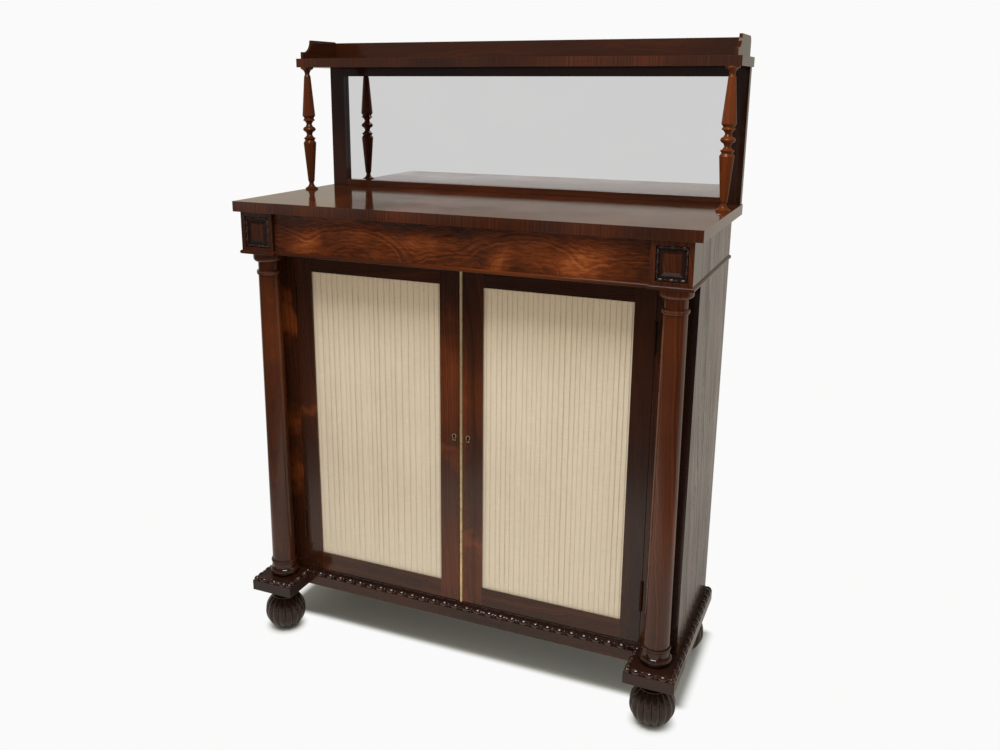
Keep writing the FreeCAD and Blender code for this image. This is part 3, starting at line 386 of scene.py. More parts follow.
def brass(name, colour, roughness, tarnish, scarf=None, shade_front=None):
    """Brass with soft tarnish. scarf = (x, z) draws the hairline of a slanting joint there. In front of a
    given place along Y the metal is darkened as painted shade, and made rougher."""
    paint = Paint(name, Metallic=1.0)
    place = paint.place()
    x, y, z = paint.parts(place)
    cloud = paint.noise(place, 60.0, 4.0, 0.6)
    dark = tuple(share * TARNISHED for share in colour)
    tone = paint.blend(paint.step(cloud, 0.42, 0.72, 0.0, tarnish), colour, dark)
    scratch = paint.noise(paint.vector("MULTIPLY", place, (1.0, 1.0, 0.06)), 1400.0, 2.0)
    rough = paint.math("ADD", paint.step(cloud, 0.3, 0.7, roughness, roughness + 0.2),
                       paint.math("MULTIPLY", scratch, 0.06))
    height = paint.math("ADD", scratch, cloud)
    if scarf:
        slant = paint.math("ADD", paint.math("SUBTRACT", z, scarf[1]), paint.math("SUBTRACT", x, scarf[0]))
        seam = paint.step(paint.math("ABSOLUTE", slant), 0.0003, 0.0008, 1.0, 0.0)
        tone = paint.blend(paint.math("MULTIPLY", seam, 0.85), tone, SCARF_LINE)
        height = paint.math("SUBTRACT", height, paint.math("MULTIPLY", seam, 4.0))
    # Painted shade: the hinges' knuckles, in the shadow beside the columns, are darkened.
    if shade_front:
        shade_mask = paint.step(y, shade_front, shade_front - 0.0006)
        tone = paint.blend(shade_mask, tone, BRASS_SHADE)
        rough = paint.math("ADD", rough, paint.math("MULTIPLY", shade_mask, 0.15))
    return paint.finish(tone, rough, height, 0.00006)


def silvered_glass(name):
    """An old mirror plate: a faint cloudiness and a few pinholes in its silver."""
    paint = Paint(name, Metallic=1.0)
    place = paint.place()
    cloud = paint.step(paint.noise(place, 5.0, 3.0, 0.6), 0.3, 0.7)
    pinholes = paint.step(paint.noise(place, 230.0, 2.0, 0.5), 0.72, 0.76, 0.0, 0.06)
    colour = paint.blend(cloud, (0.880, 0.880, 0.880), (0.895, 0.895, 0.890))
    colour = paint.blend(pinholes, colour, (0.20, 0.17, 0.13))
    return paint.finish(colour, paint.step(cloud, 0.0, 1.0, 0.010, 0.020))


# Where along an axis a tint of the silk begins and where it is full, how strong it is, and its colour. Along
# Z the silk turns lighter low down, and darker and warmer at the top as painted shade in the frieze's
# shadow; along X it turns lighter to the right.
SILK_TINTS_AND_SHADING = (("Z", 0.45, 0.18, 0.80, (0.790, 0.665, 0.480)),
              ("X", -0.1, 0.1, 0.35, (0.800, 0.665, 0.470)),
              ("Z", 0.62, 0.82, 0.75, (0.730, 0.545, 0.335)))


def woven_silk(name):
    """Cream silk with a fine weave and slubs, darker and warmer under the frame's top rail as painted shade.
    """
    paint = Paint(name, IOR=1.45, Sheen_Weight=0.12, Sheen_Roughness=0.4)
    place = paint.place()
    spot = paint.parts(place)
    warp = paint.noise(paint.vector("MULTIPLY", place, (1.0, 1.0, 0.02)), 1500.0, 1.0)
    weft = paint.noise(paint.vector("MULTIPLY", place, (0.03, 0.03, 1.0)), 1500.0, 1.0)
    long_threads = paint.noise(paint.vector("MULTIPLY", place, (1.0, 1.0, 0.16)), 260.0, 2.0)
    slub = paint.step(long_threads, 0.66, 0.76)
    stain = paint.noise(paint.vector("MULTIPLY", place, (1.0, 1.0, 0.6)), 7.0, 3.0, 0.6)
    colour = paint.blend(paint.step(stain, 0.3, 0.7), (0.680, 0.555, 0.388), (0.735, 0.608, 0.436))
    # Tints along the silk's height and width; the one at its top is painted shade.
    for axis, begins, full, strength, tint in SILK_TINTS_AND_SHADING:
        colour = paint.blend(paint.step(spot[axis], begins, full, 0.0, strength), colour, tint)
    colour = paint.dim(colour, paint.step(paint.math("ADD", warp, weft), 0.8, 1.2, 0.94, 1.05))
    colour = paint.blend(paint.math("MULTIPLY", slub, 0.4), colour, (0.83, 0.74, 0.58))
    height = paint.math("ADD", paint.math("ADD", warp, weft), paint.math("MULTIPLY", slub, 0.8))
    return paint.finish(colour, paint.step(stain, 0.3, 0.7, 0.55, 0.68), height, 0.00010)


def dress(name, material, bevel=0.0):
    """Gives a CAD node its finish, and its arrises a small round."""
    piece = nodes[name]
    piece.data.materials.clear()
    piece.data.materials.append(material)
    if bevel:
        weld = piece.modifiers.new("weld", "WELD")
        weld.merge_threshold = 0.00001
        soften = piece.modifiers.new("soften", "BEVEL")
        soften.width = bevel
        soften.segments = 2
        soften.limit_method = "ANGLE"
        soften.angle_limit = math.radians(50)
        soften.miter_outer = "MITER_ARC"
        even = piece.modifiers.new("even", "WEIGHTED_NORMAL")
        even.keep_sharp = True


# Meshes

def new_object(name, mesh, material, smooth):
    """Makes an object of a bmesh."""
    data = bpy.data.meshes.new(name)
    mesh.to_mesh(data)
    mesh.free()
    for face in data.polygons:
        face.use_smooth = smooth
    data.materials.append(material)
    made = bpy.data.objects.new(name, data)
    bpy.context.scene.collection.objects.link(made)
    return made


def new_piece(name, mesh, material, body, smooth=True):
    """Makes a piece of a bmesh, which rides on a body and takes the finish it is given."""
    bmesh.ops.recalc_face_normals(mesh, faces=mesh.faces)
    piece = new_object(name, mesh, material, smooth)
    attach(piece, body)
    return piece


def join_rings(mesh, lower, upper):
    """Adds the faces between two rings of vertices, one of which may be a single point."""
    steps = max(len(lower), len(upper))
    for step in range(steps):
        following = (step + 1) % steps
        if len(lower) == 1:
            mesh.faces.new((lower[0], upper[step], upper[following]))
        elif len(upper) == 1:
            mesh.faces.new((lower[step], lower[following], upper[0]))
        else:
            mesh.faces.new((lower[step], lower[following], upper[following], upper[step]))


def turned_form(mesh, profile, centre, axis, steps=16):
    """Adds a closed form turned to a profile of (place along the axis, radius), of radius 0 at both ends."""
    axis = Vector(axis).normalized()
    across = axis.orthogonal().normalized()
    upward = axis.cross(across)
    rings = []
    for along, radius in profile:
        middle = Vector(centre) + axis * along
        if radius == 0:
            rings.append([mesh.verts.new(middle)])
            continue
        ring = []
        for step in range(steps):
            angle = 2 * math.pi * step / steps
            spoke = across * math.cos(angle) + upward * math.sin(angle)
            ring.append(mesh.verts.new(middle + spoke * radius))
        rings.append(ring)
    for lower, upper in zip(rings, rings[1:]):
        join_rings(mesh, lower, upper)


def oval_profile(half_length, radius, steps=10):
    """The outline of a bead, a little fuller than an ellipse."""
    profile = []
    for step in range(steps + 1):
        angle = math.pi * step / steps
        fullness = 0 if step in (0, steps) else math.sin(angle) ** 0.85
        profile.append((-math.cos(angle) * half_length, radius * fullness))
    return profile


def reel_profile(half_width, radius):
    """The outline of a reel: a thin disc with a rounded rim."""
    return [(-half_width, 0), (-half_width, radius * 0.80), (-half_width * 0.6, radius * 0.95),
            (0, radius), (half_width * 0.6, radius * 0.95), (half_width, radius * 0.80), (half_width, 0)]


def bead_run(mesh, start, end, pitch, count, bead, reel, core):
    """Adds a row of beads with a reel between each two, on a thin core, centred between two points."""
    start, end = Vector(start), Vector(end)
    along = (end - start).normalized()
    middle = (start + end) / 2
    length = (end - start).length
    turned_form(mesh, [(0, 0), (0, core), (length, core), (length, 0)], start, along, steps=10)
    for number in range(count):
        place = middle + along * (number - (count - 1) / 2) * pitch
        turned_form(mesh, oval_profile(*bead), place, along)
        between = place + along * pitch / 2
        if (between - middle).dot(along) < length / 2 - reel[0]:
            turned_form(mesh, reel_profile(*reel), between, along)
    first = middle - along * count / 2 * pitch
    if (middle - first).length < length / 2 - reel[0]:
        turned_form(mesh, reel_profile(*reel), first, along)


# A row of beads and reels: a bead's half length and radius, a reel's half width and radius, and the core's
# radius. The plinth's corners have round beads.
PLINTH_ROW = ((0.0096, 0.0068), (0.0013, 0.0062), 0.0036)
PLINTH_PITCH = 0.0255
CORNER_BEAD = 0.0066
# The beads' middle line lies this far in from the faces of the moulding, and above its foot
BEAD_INSET = 0.0059
BEAD_RISE = 0.0018
# The middle of the front has a reel, and this many beads to each side of it
FRONT_BEADS = 14
# A shorter run takes one more bead where no more than this is missing from its pitch
BEAD_SLACK = 0.004


def plinth_beads(material):
    """Bead and reel along the sides of the plinth, round its blocks and across its front."""
    low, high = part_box("plinth_bead_moulding")
    step_low, step_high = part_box("plinth_block_right")
    rail_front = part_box("plinth_front_rail")[0].y
    z = low.z + BEAD_RISE
    outer = high.x - BEAD_INSET
    inner = step_low.x + (step_high.x - high.x) + BEAD_INSET
    front = low.y + BEAD_INSET
    recess = rail_front + (low.y - step_low.y) + BEAD_INSET
    rear = high.y
    mesh = bmesh.new()
    bead_run(mesh, (-inner, recess, z), (inner, recess, z), PLINTH_PITCH, 2 * FRONT_BEADS, *PLINTH_ROW)
    for way in (-1, 1):
        runs = [((way * outer, rear), (way * outer, front)), ((way * outer, front), (way * inner, front)),
                ((way * inner, front), (way * inner, recess))]
        for start, end in runs:
            count = math.floor((math.dist(start, end) + BEAD_SLACK) / PLINTH_PITCH)
            bead_run(mesh, (*start, z), (*end, z), PLINTH_PITCH, count, *PLINTH_ROW)
        for x, y in ((outer, front), (inner, front), (inner, recess)):
            turned_form(mesh, oval_profile(CORNER_BEAD, CORNER_BEAD), (way * x, y, z), (0, 0, 1))
    piece = new_piece("plinth_bead_and_reel", mesh, material, "carcase")
    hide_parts("plinth_bead_moulding")


# The sunk square on each corner block: its margins, its foot and its depth, and the row of beads in it,
# whose middle line is raised from the sunk face
SUNK_MARGIN = 0.0088
SUNK_FOOT = 0.0143
SUNK_DEPTH = 0.004
SUNK_RISE = 0.0012
SUNK_INSET = 0.0029
SUNK_ROW = ((0.0062, 0.0029), (0.0009, 0.0026), 0.0016)
SUNK_PITCH_ACROSS = 0.0193
SUNK_PITCH_UP = 0.0163
SUNK_BEADS = 3


def block_beads(side, material):
    """Small bead and reel round the inside of a corner block's sunk square."""
    low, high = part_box(f"corner_block_{side}")
    inset = SUNK_MARGIN + SUNK_INSET
    y = low.y + SUNK_DEPTH - SUNK_RISE
    left, right = low.x + inset, high.x - inset
    bottom, top = low.z + SUNK_FOOT + SUNK_INSET, high.z - inset
    mesh = bmesh.new()
    for z in (bottom, top):
        bead_run(mesh, (left, y, z), (right, y, z), SUNK_PITCH_ACROSS, SUNK_BEADS, *SUNK_ROW)
    for x in (left, right):
        bead_run(mesh, (x, y, bottom), (x, y, top), SUNK_PITCH_UP, SUNK_BEADS, *SUNK_ROW)
    new_piece(f"corner_beads_{side}", mesh, material, "carcase")


# The silk's knife pleats: how many each door has, their seeds, and how far each is folded under the next
PLEATS = {"left": 25, "right": 29}
SILK_SEEDS = {"left": 11, "right": 29}
PLEAT_OVERLAP = 0.0032
# How much the pitches differ, how deep a pleat is at least and in its fullness, and how its crown rises
PITCH_SPREAD = 0.24
PLEAT_DEPTH = 0.0012
FULLNESS = (0.0005, 0.0008, 0.0011, 0.0017)
CROWN = 0.00045
LEAST_CROWN = 0.00008
# How folds, overlaps and crowns wander along the height: knots of the curve, and how far it strays
FOLD_WALK = (6, 0.0004)
OVERLAP_WALK = (5, 0.0005)
CROWN_WALK = (5, 0.00020)
# From its upper and lower ends the silk is held flat for the first length, and loosens over the second
SILK_HELD = 0.006
SILK_LOOSENS = 0.05
SILK_ROWS = 72
STRIP_STEPS = 8
# The points of a fold: share of the overlap, shift along X, share of the depth, shift along Y
FOLD = ((0.0, 0.00025, 0.0, 0.00022), (0.0, -0.00005, 0.0, 0.00050), (0.55, 0.0, 0.5, 0.00020),
        (1.0, -0.00015, 1.0, -0.00030))


def ease(share):
    """Goes from 0 to 1 with a soft start and a soft end."""
    return share * share * (3 - 2 * share)


def smooth_walk(pick, count, spread):
    """A slow random curve through count knots, as a function of 0 to 1."""
    knots = [pick.uniform(-spread, spread) for _ in range(count)]

    def at(share):
        place = share * (count - 1)
        low = min(int(place), count - 2)
        part = ease(place - low)
        return knots[low] * (1 - part) + knots[low + 1] * part
    return at


def pleat_section(edges, overlap, crown, middle, depths):
    """The cut across the cloth: a chain of strips, each folded back under itself at its right edge."""
    line = []
    for number, depth in enumerate(depths):
        start = edges[number] - (overlap if number else 0)
        end = edges[number + 1]
        front, back = middle - depth * 0.4, middle + depth * 0.6
        for step in range(STRIP_STEPS + 1):
            part = step / STRIP_STEPS
            bulge = crown * math.sin(math.pi * min(1, part * 1.12)) if part < 0.89 else 0
            line.append((start + (end - start) * part, back + (front - back) * part ** 0.8 - bulge))
        if number < len(depths) - 1:
            for under, aside, deep, behind in FOLD:
                line.append((end - overlap * under + aside, front + (back - front) * deep + behind))
    return line


def silk_sheet(side, material):
    """Knife-pleated silk behind the door frame's lip, held flat round its border."""
    name = f"{side}_silk_panel"
    low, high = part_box(name)
    pick = random.Random(SILK_SEEDS[side])
    pleats = PLEATS[side]
    pitches = [1 + pick.uniform(-PITCH_SPREAD, PITCH_SPREAD) for _ in range(pleats)]
    fullness = [pick.choice(FULLNESS) for _ in range(pleats)]
    scale = (high.x - low.x) / sum(pitches)
    walks = [smooth_walk(pick, *FOLD_WALK) for _ in range(pleats + 1)]
    overlaps = smooth_walk(pick, *OVERLAP_WALK)
    crowns = smooth_walk(pick, *CROWN_WALK)
    middle = (low.y + high.y) / 2
    seams = [low.x]
    for pitch in pitches:
        seams.append(seams[-1] + pitch * scale)
    mesh = bmesh.new()
    rows = []
    for row in range(SILK_ROWS + 1):
        share = row / SILK_ROWS
        border = min(share, 1 - share) * (high.z - low.z)
        loose = ease(min(1.0, max(0.0, (border - SILK_HELD) / SILK_LOOSENS)))
        edges = [seam + (walk(share) * loose if 0 < number < pleats else 0)
                 for number, (seam, walk) in enumerate(zip(seams, walks))]
        crown = CROWN * loose + crowns(share) * loose + LEAST_CROWN
        line = pleat_section(edges, PLEAT_OVERLAP + overlaps(share), crown, middle,
                             [PLEAT_DEPTH + full * loose for full in fullness])
        z = low.z + (high.z - low.z) * share
        rows.append([mesh.verts.new((x, y, z)) for x, y in line])
    for lower, upper in zip(rows, rows[1:]):
        for column in range(len(lower) - 1):
            mesh.faces.new((lower[column], lower[column + 1], upper[column + 1], upper[column]))
    piece = new_piece(f"{side}_pleated_silk", mesh, material, f"{side}_door")
    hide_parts(name)


# A screw's head: how far its face is proud and its foot sunk, its foot's and its slot's share of the
# radius, and the steps round each half
HEAD_PROUD = 0.00006
HEAD_SUNK = 0.0006
FOOT_SHARE = 0.9
SLOT_SHARE = 0.16
HEAD_STEPS = 10


def screw(mesh, centre, outward, radius, turn):
    """Adds a countersunk screw head with its slot, its face a hair proud of the metal round it."""
    outward = Vector(outward).normalized()
    across = outward.orthogonal().normalized()
    across = Matrix.Rotation(turn, 3, outward) @ across
    upward = outward.cross(across)
    centre = Vector(centre)

    def at(a, b, depth):
        return mesh.verts.new(centre + across * a + upward * b + outward * depth)

    limit = math.acos(SLOT_SHARE)
    arc = [limit - 2 * limit * step / HEAD_STEPS for step in range(HEAD_STEPS + 1)]
    for way in (-1, 1):
        rim = [(math.sin(angle) * radius, way * math.cos(angle) * radius) for angle in arc]
        top = [at(a, b, HEAD_PROUD) for a, b in rim]
        foot = [at(a * FOOT_SHARE, b * FOOT_SHARE, -HEAD_SUNK) for a, b in rim]
        mesh.faces.new(top)
        mesh.faces.new(foot)
        join_rings(mesh, top, foot)


# The faces of the hinge leaves lie this far from the cabinet's middle, on the door and on the carcase
DOOR_LEAF = 0.3773
CARCASE_LEAF = 0.3777
HINGE_HALF = 0.030
# Each leaf's screws: their radius, and (height from the leaf's middle, distance from its rear edge)
LEAF_SCREW = 0.0026
LEAF_SCREW_PLACES = ((-0.021, 0.0090), (0.0, 0.0053), (0.021, 0.0090))
LEAF_SCREW_SEEDS = {"left": 7, "right": 8}
# The lock's screws: their radius, how far they stand in from its sides and ends, and their seeds
LOCK_SCREW = 0.0022
LOCK_SCREW_INSET = (0.005, 0.006)
LOCK_SCREW_SEEDS = {"left": 3, "right": 4}


def hinge_screws(side, material):
    """Three screws in each leaf of both hinges, on the door's edge and on the pilaster."""
    low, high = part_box(f"{side}_hinge_leaves")
    way = sign(side)
    pick = random.Random(LEAF_SCREW_SEEDS[side])
    door_mesh = bmesh.new()
    carcase_mesh = bmesh.new()
    for centre in (low.z + HINGE_HALF, high.z - HINGE_HALF):
        for rise, inset in LEAF_SCREW_PLACES:
            for mesh, leaf, outward in ((door_mesh, DOOR_LEAF, way), (carcase_mesh, CARCASE_LEAF, -way)):
                screw(mesh, (way * leaf, high.y - inset, centre + rise), (outward, 0, 0), LEAF_SCREW,
                      pick.uniform(0, math.pi))
    new_piece(f"{side}_door_hinge_screws", door_mesh, material, f"{side}_door", False)
    new_piece(f"{side}_frame_hinge_screws", carcase_mesh, material, "carcase", False)


def lock_screws(side, material):
    """Four screws that hold the lock's case to the inside of the door."""
    low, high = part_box(f"{side}_lock")
    mesh = bmesh.new()
    pick = random.Random(LOCK_SCREW_SEEDS[side])
    inset_x, inset_z = LOCK_SCREW_INSET
    for x in (low.x + inset_x, high.x - inset_x):
        for z in (low.z + inset_z, high.z - inset_z):
            screw(mesh, (x, high.y, z), (0, 1, 0), LOCK_SCREW, pick.uniform(0, math.pi))
    new_piece(f"{side}_lock_screws", mesh, material, f"{side}_door", False)


# The planks of the back, the gaps that shrinkage has left between them, and the tongues in those gaps
PLANKS = 5
PLANK_GAP = 0.001
TONGUE_HALF = (0.0040, 0.0016)
TONGUE_CHAMFER = 0.0006
TONGUE_SHORT = 0.001


def back_tongues(material):
    """Loose tongues set in grooves between the planks of the back, which keep its gaps dark."""
    low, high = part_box("back_boards")
    pitch = (high.x - low.x + PLANK_GAP) / PLANKS
    middle = (low.y + high.y) / 2
    wide, thick = TONGUE_HALF
    narrow = wide - TONGUE_CHAMFER
    thin = thick - TONGUE_CHAMFER
    section = [(-wide, -thin), (-narrow, -thick), (narrow, -thick), (wide, -thin),
               (wide, thin), (narrow, thick), (-narrow, thick), (-wide, thin)]
    mesh = bmesh.new()
    for number in range(1, PLANKS):
        x = low.x + number * pitch - PLANK_GAP / 2
        foot, head = [[mesh.verts.new((x + across, middle + deep, z)) for across, deep in section]
                      for z in (low.z + TONGUE_SHORT, high.z - TONGUE_SHORT)]
        mesh.faces.new(foot)
        mesh.faces.new(head)
        join_rings(mesh, foot, head)
    new_piece("back_tongues", mesh, material, "carcase", False)


# Finishes of the CAD nodes

# Grain, lightness, contrast and ring pitch of each rosewood board
ROSEWOOD_BOARDS = {
    "foot_front_left": ("z", 0.12, 0.5, 0.007),
    "foot_front_right": ("z", 0.14, 0.5, 0.007),
    "foot_rear_left": ("z", 0.13, 0.5, 0.007),
    "foot_rear_right": ("z", 0.13, 0.5, 0.007),
    "plinth_block_left": ("x", 0.10, 0.7, 0.008),
    "plinth_block_right": ("x", 0.12, 0.7, 0.008),
    "plinth_front_rail": ("x", 0.22, 0.7, 0.009),
    "plinth_side_rail_left": ("y", 0.20, 0.7, 0.009),
    "plinth_side_rail_right": ("y", 0.20, 0.7, 0.009),
    "side_panel_left": ("z", 0.30, 1.2, 0.008),
    "side_panel_right": ("z", 0.28, 1.2, 0.008),
    "pilaster_left": ("z", 0.24, 0.7, 0.008),
    # The right pilaster is set darker than the left as painted shade behind its column.
    "pilaster_right": ("z", 0.17, 0.6, 0.008),
    "column_left": ("z", 0.34, 0.6, 0.006),
    "column_right": ("z", 0.40, 0.7, 0.006),
    "corner_block_left": ("z", 0.16, 0.6, 0.006),
    "corner_block_right": ("z", 0.34, 0.9, 0.006),
    "frieze_moulding": ("x", 0.32, 0.5, 0.006),
    "mirror_stile_left": ("z", 0.18, 0.6, 0.008),
    "mirror_stile_right": ("z", 0.16, 0.6, 0.008),
    "mirror_top_rail": ("x", 0.12, 0.5, 0.008),
    "mirror_bottom_rail": ("x", 0.40, 0.6, 0.006),
    "gallery_side_left": ("y", 0.22, 0.6, 0.008),
    "gallery_side_right": ("y", 0.26, 0.6, 0.008),
    "gallery_back": ("x", 0.21, 0.45, 0.009),
    "spindle_left": ("z", 0.40, 0.5, 0.005),
    "spindle_right": ("z", 0.56, 0.5, 0.005),
    "left_hinge_stile": ("z", 0.22, 0.8, 0.009),
    "left_meeting_stile": ("z", 0.34, 0.8, 0.009),
    "left_top_rail": ("x", 0.20, 0.6, 0.009),
    "left_bottom_rail": ("x", 0.34, 0.8, 0.009),
    "right_hinge_stile": ("z", 0.19, 0.7, 0.009),
    "right_meeting_stile": ("z", 0.30, 0.8, 0.009),
    "right_top_rail": ("x", 0.19, 0.6, 0.009),
    "right_bottom_rail": ("x", 0.28, 0.8, 0.009),
}
# The light patches of some of them as rosewood's flames, and dark ones with a strength below 0: darker at
# the columns' feet, and painted shade under the frieze at the top of the left meeting stile
FLAMES = {
    "pilaster_left": ((0.705, 0.036, 0.44), (0.470, 0.030, 0.26), (0.360, 0.030, 0.30)),
    "column_left": ((0.680, 0.080, 0.14), (0.135, 0.032, -0.20)),
    "column_right": ((0.740, 0.200, 0.12), (0.430, 0.120, 0.12), (0.135, 0.032, -0.22)),
    "frieze_moulding": ((0.080, 0.180, 0.12),),
    "left_hinge_stile": ((0.500, 0.016, 0.24), (0.230, 0.060, 0.08)),
    # Its dark patch at the top is painted shade under the frieze.
    "left_meeting_stile": ((0.820, 0.090, -0.24), (0.600, 0.120, 0.16), (0.455, 0.022, 0.20),
                           (0.240, 0.120, 0.12)),
    "right_meeting_stile": ((0.560, 0.080, 0.20), (0.285, 0.022, 0.22), (0.220, 0.110, 0.16)),
}
# Grain and tone of each plain board
PLAIN_BOARDS = {
    "back_boards": ("z", 1.0),
    "ceiling_board": ("x", 1.0),
    "interior_shelf": ("x", 1.0),
    "shelf_bearers": ("y", 0.9),
    "rear_foot_blocks": ("x", 0.9),
    "mirror_backboard": ("x", 1.1),
    "plinth_back_rail": ("x", 0.9),
    "left_silk_fillets": ("z", 0.8),
    "right_silk_fillets": ("z", 0.8),
}
TURNED = ("foot", "column", "spindle")
# Work over the top whose polish has dulled
DULL = ("mirror_", "spindle", "gallery", "frieze_moulding")
# The round of an arris: on most boards, on slabs and locks, and on the thin veneered frieze
ARRIS = 0.0005
SOFT_ARRIS = 0.0006
SHARP_ARRIS = 0.0004
# Brass: keyhole plates, the bar on the meeting edge with the height of its joint, and hinges and locks
POLISHED_BRASS = (0.72, 0.58, 0.34)
BAR_BRASS = (0.86, 0.67, 0.39)
BAR_JOINT = 0.489
DULL_BRASS = (0.50, 0.40, 0.22)


def own_polish(name):
    """What sets a rosewood board's polish apart from the usual one, painted shade on some boards among it.
    """
    polish = {"flames": FLAMES.get(name, ())}
    if name.startswith(TURNED):
        polish["wear_and_highlight"] = 0
    if name.startswith(DULL):
        polish["shine"] = 0.12
    if name.startswith("plinth_block"):
        polish["gloss"] = 0.30
    if name.startswith("corner_block"):
        # The sunk square behind the block's face is darkened as painted shade.
        polish["shade"] = (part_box(name)[0].y, 0.0, 0.32)
    if name.startswith("side_panel"):
        # The side panel's front edge, in shadow beside the column, is darkened as painted shade.
        polish["shade"] = (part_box(name)[0].y, 0.30, 0.0)
        polish["dulled"] = 0.16
    return polish


def dress_all():
    """Finishes every CAD node that stays, and returns the dull brass, which the screws share."""
    for seed, (name, (grain, level, contrast, pitch)) in enumerate(ROSEWOOD_BOARDS.items(), 100):
        material = rosewood(f"rosewood_{name}", grain, level, contrast, seed, pitch, **own_polish(name))
        dress(name, material, 0 if name.startswith(TURNED) or "moulding" in name else ARRIS)
    for seed, (name, (grain, tone)) in enumerate(PLAIN_BOARDS.items(), 200):
        dress(name, board_wood(f"plain_{name}", grain, seed, tone), ARRIS)
    sides_low, sides_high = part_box("side_panel_right")
    # The base board's ledge before the carcase is stained dark, also as painted shade.
    inside = (sides_high.x - 0.004, sides_low.y + 0.004)
    dress("base_board", board_wood("plain_base_board", "x", 220, 0.75, inside), ARRIS)
    dress("top_slab", banded_rosewood("rosewood_top", 0.40, 0.30, 301), SOFT_ARRIS)
    dress("upper_shelf", banded_rosewood("rosewood_shelf", 0.34, 0.23, 305, 0.15), SOFT_ARRIS)
    dress("frieze_board", frieze_veneer("rosewood_frieze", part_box("frieze_board")[0].z), SHARP_ARRIS)
    dress("mirror_plate", silvered_glass("silvered_glass"))
    polished_brass = brass("brass_polished", POLISHED_BRASS, 0.26, 0.55)
    bar_low, bar_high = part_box("brass_astragal")
    bar_joint = ((bar_low.x + bar_high.x) / 2, BAR_JOINT)
    dress("brass_astragal", brass("brass_bar", BAR_BRASS, 0.30, 0.45, scarf=bar_joint))
    # Its knuckles before the carcase's sides take painted shade.
    dull_brass = brass("brass_dull", DULL_BRASS, 0.38, 0.85, shade_front=sides_low.y + 0.002)
    dress("carcase_hinge_leaves", dull_brass)
    for side in SIDES:
        dress(f"{side}_escutcheon", polished_brass)
        dress(f"{side}_hinge_leaves", dull_brass)
        dress(f"{side}_lock", dull_brass, SOFT_ARRIS)
    return dull_brass


dull_brass = dress_all()
plinth_beads(rosewood("rosewood_beads", "x", 0.14, 0.4, 401, 0.006, wear_and_highlight=0, shine=0.9))
# The corner blocks' beads are set very dark as painted shade in the sunk squares.
shaded_corner_finish = rosewood("rosewood_corner_beads", "x", 0.05, 0.3, 402, 0.006, wear_and_highlight=0)
back_tongues(board_wood("plain_tongues", "z", 230, 0.8))
silk = woven_silk("silk")
for side in SIDES:
    block_beads(side, shaded_corner_finish)
    silk_sheet(side, silk)
    hinge_screws(side, dull_brass)
    lock_screws(side, dull_brass)


# Stage: a pale floor, a white surround, a soft lamp and the camera

STUDIO_WHITE = (0.957, 0.957, 0.955)
FLOOR_HALF = 12
# The shaded floor under the cabinet, outside which it fades into the white surround within these lengths,
# and the colours of its painted shade at the cabinet's left and right
SHADE_MIDDLE = (0.0, 0.055, 0.0)
SHADE_HALF = (0.448, 0.137, 0.0)
SHADE_FADE = (0.030, 0.024, 1.0)
SHADE_LEFT = (0.62, 0.61, 0.52)
SHADE_RIGHT = (0.84, 0.84, 0.74)
# The front feet's places on the floor, and the lengths within which their own shade ends
FOOT_PLACE = (0.4175, -0.1526, 0.0)
FOOT_FADE = (0.022, 0.052)
# The floor as its light falls back on the cabinet, and as polish sees it close by
FLOOR_LIT = (0.80, 0.80, 0.79)
FLOOR_CLOSE = (0.74, 0.68, 0.60)
# How far from the cabinet the floor that polish sees changes from the near one to the far one
FLOOR_FAR = (0.9, 1.3)
# The far floor in polish and mirror, as (place from 9 m in front of the cabinet to 1 m behind, colour)
FLOOR_SEEN = [(0.055, (0.69, 0.69, 0.69)), (0.095, (0.05, 0.05, 0.05)), (0.600, (0.04, 0.04, 0.04)),
              (0.750, (0.12, 0.12, 0.12)), (0.810, (0.55, 0.51, 0.46)), (0.915, (0.55, 0.51, 0.46)),
              (0.935, (0.54, 0.49, 0.42))]
FLOOR_BEFORE = 9.0
FLOOR_DEPTH = 10.0
DOME = 0.55
DOME_WHITE = (0.98, 0.99, 1.0)
# The room in polish and mirror: before the cabinet as (sine of the elevation + 0.2, colour), and behind it
ROOM_DARK = (0.06, 0.055, 0.05)
ROOM_BEFORE = [(0.22, (0.69, 0.69, 0.69)), (0.302, (0.40, 0.37, 0.32)), (0.345, (0.50, 0.45, 0.38)),
               (0.46, (0.52, 0.47, 0.41)), (0.62, ROOM_DARK)]
ROOM_BEHIND = [(0.45, (0.50, 0.46, 0.38)), (0.75, ROOM_DARK)]
ELEVATION_SHIFT = 0.2
# Between these directions along Y, Z and X the room turns from before to behind, begins over its foot,
# and darkens towards the cabinet's left, by the last two shares
ROOM_TURN = (-0.1, 0.3)
ROOM_FOOT = (0.02, 0.05)
ROOM_SIDE = (-0.15, -0.60)
ROOM_DARKENS = (0.15, 0.62)
# A low white window before the cabinet's left side: where it ends along Z, and where it begins along X
WINDOW_HEAD = (0.092, 0.102)
WINDOW_SIDE = (-0.06, -0.18)
WHITE = (1.0, 1.0, 1.0)
KEY_PLACE = (0.15, -1.05, 2.7)
KEY_TARGET = (0.0, 0.0, 0.4)
KEY_SIZE = (1.2, 0.8)
KEY_POWER = 42
CAMERA_PLACE = (0.7436, -1.7292, 1.1765)
# The camera's turns in degrees; the last raises it from looking down to looking level
CAMERA_TURNS = ((23.65, "Z"), (-14.91, "X"), (-0.25, "Y"), (90, "X"))
CAMERA_LENS = 34.23
CAMERA_SENSOR = 36
CAMERA_SHIFT = (0.0211, -0.0364)


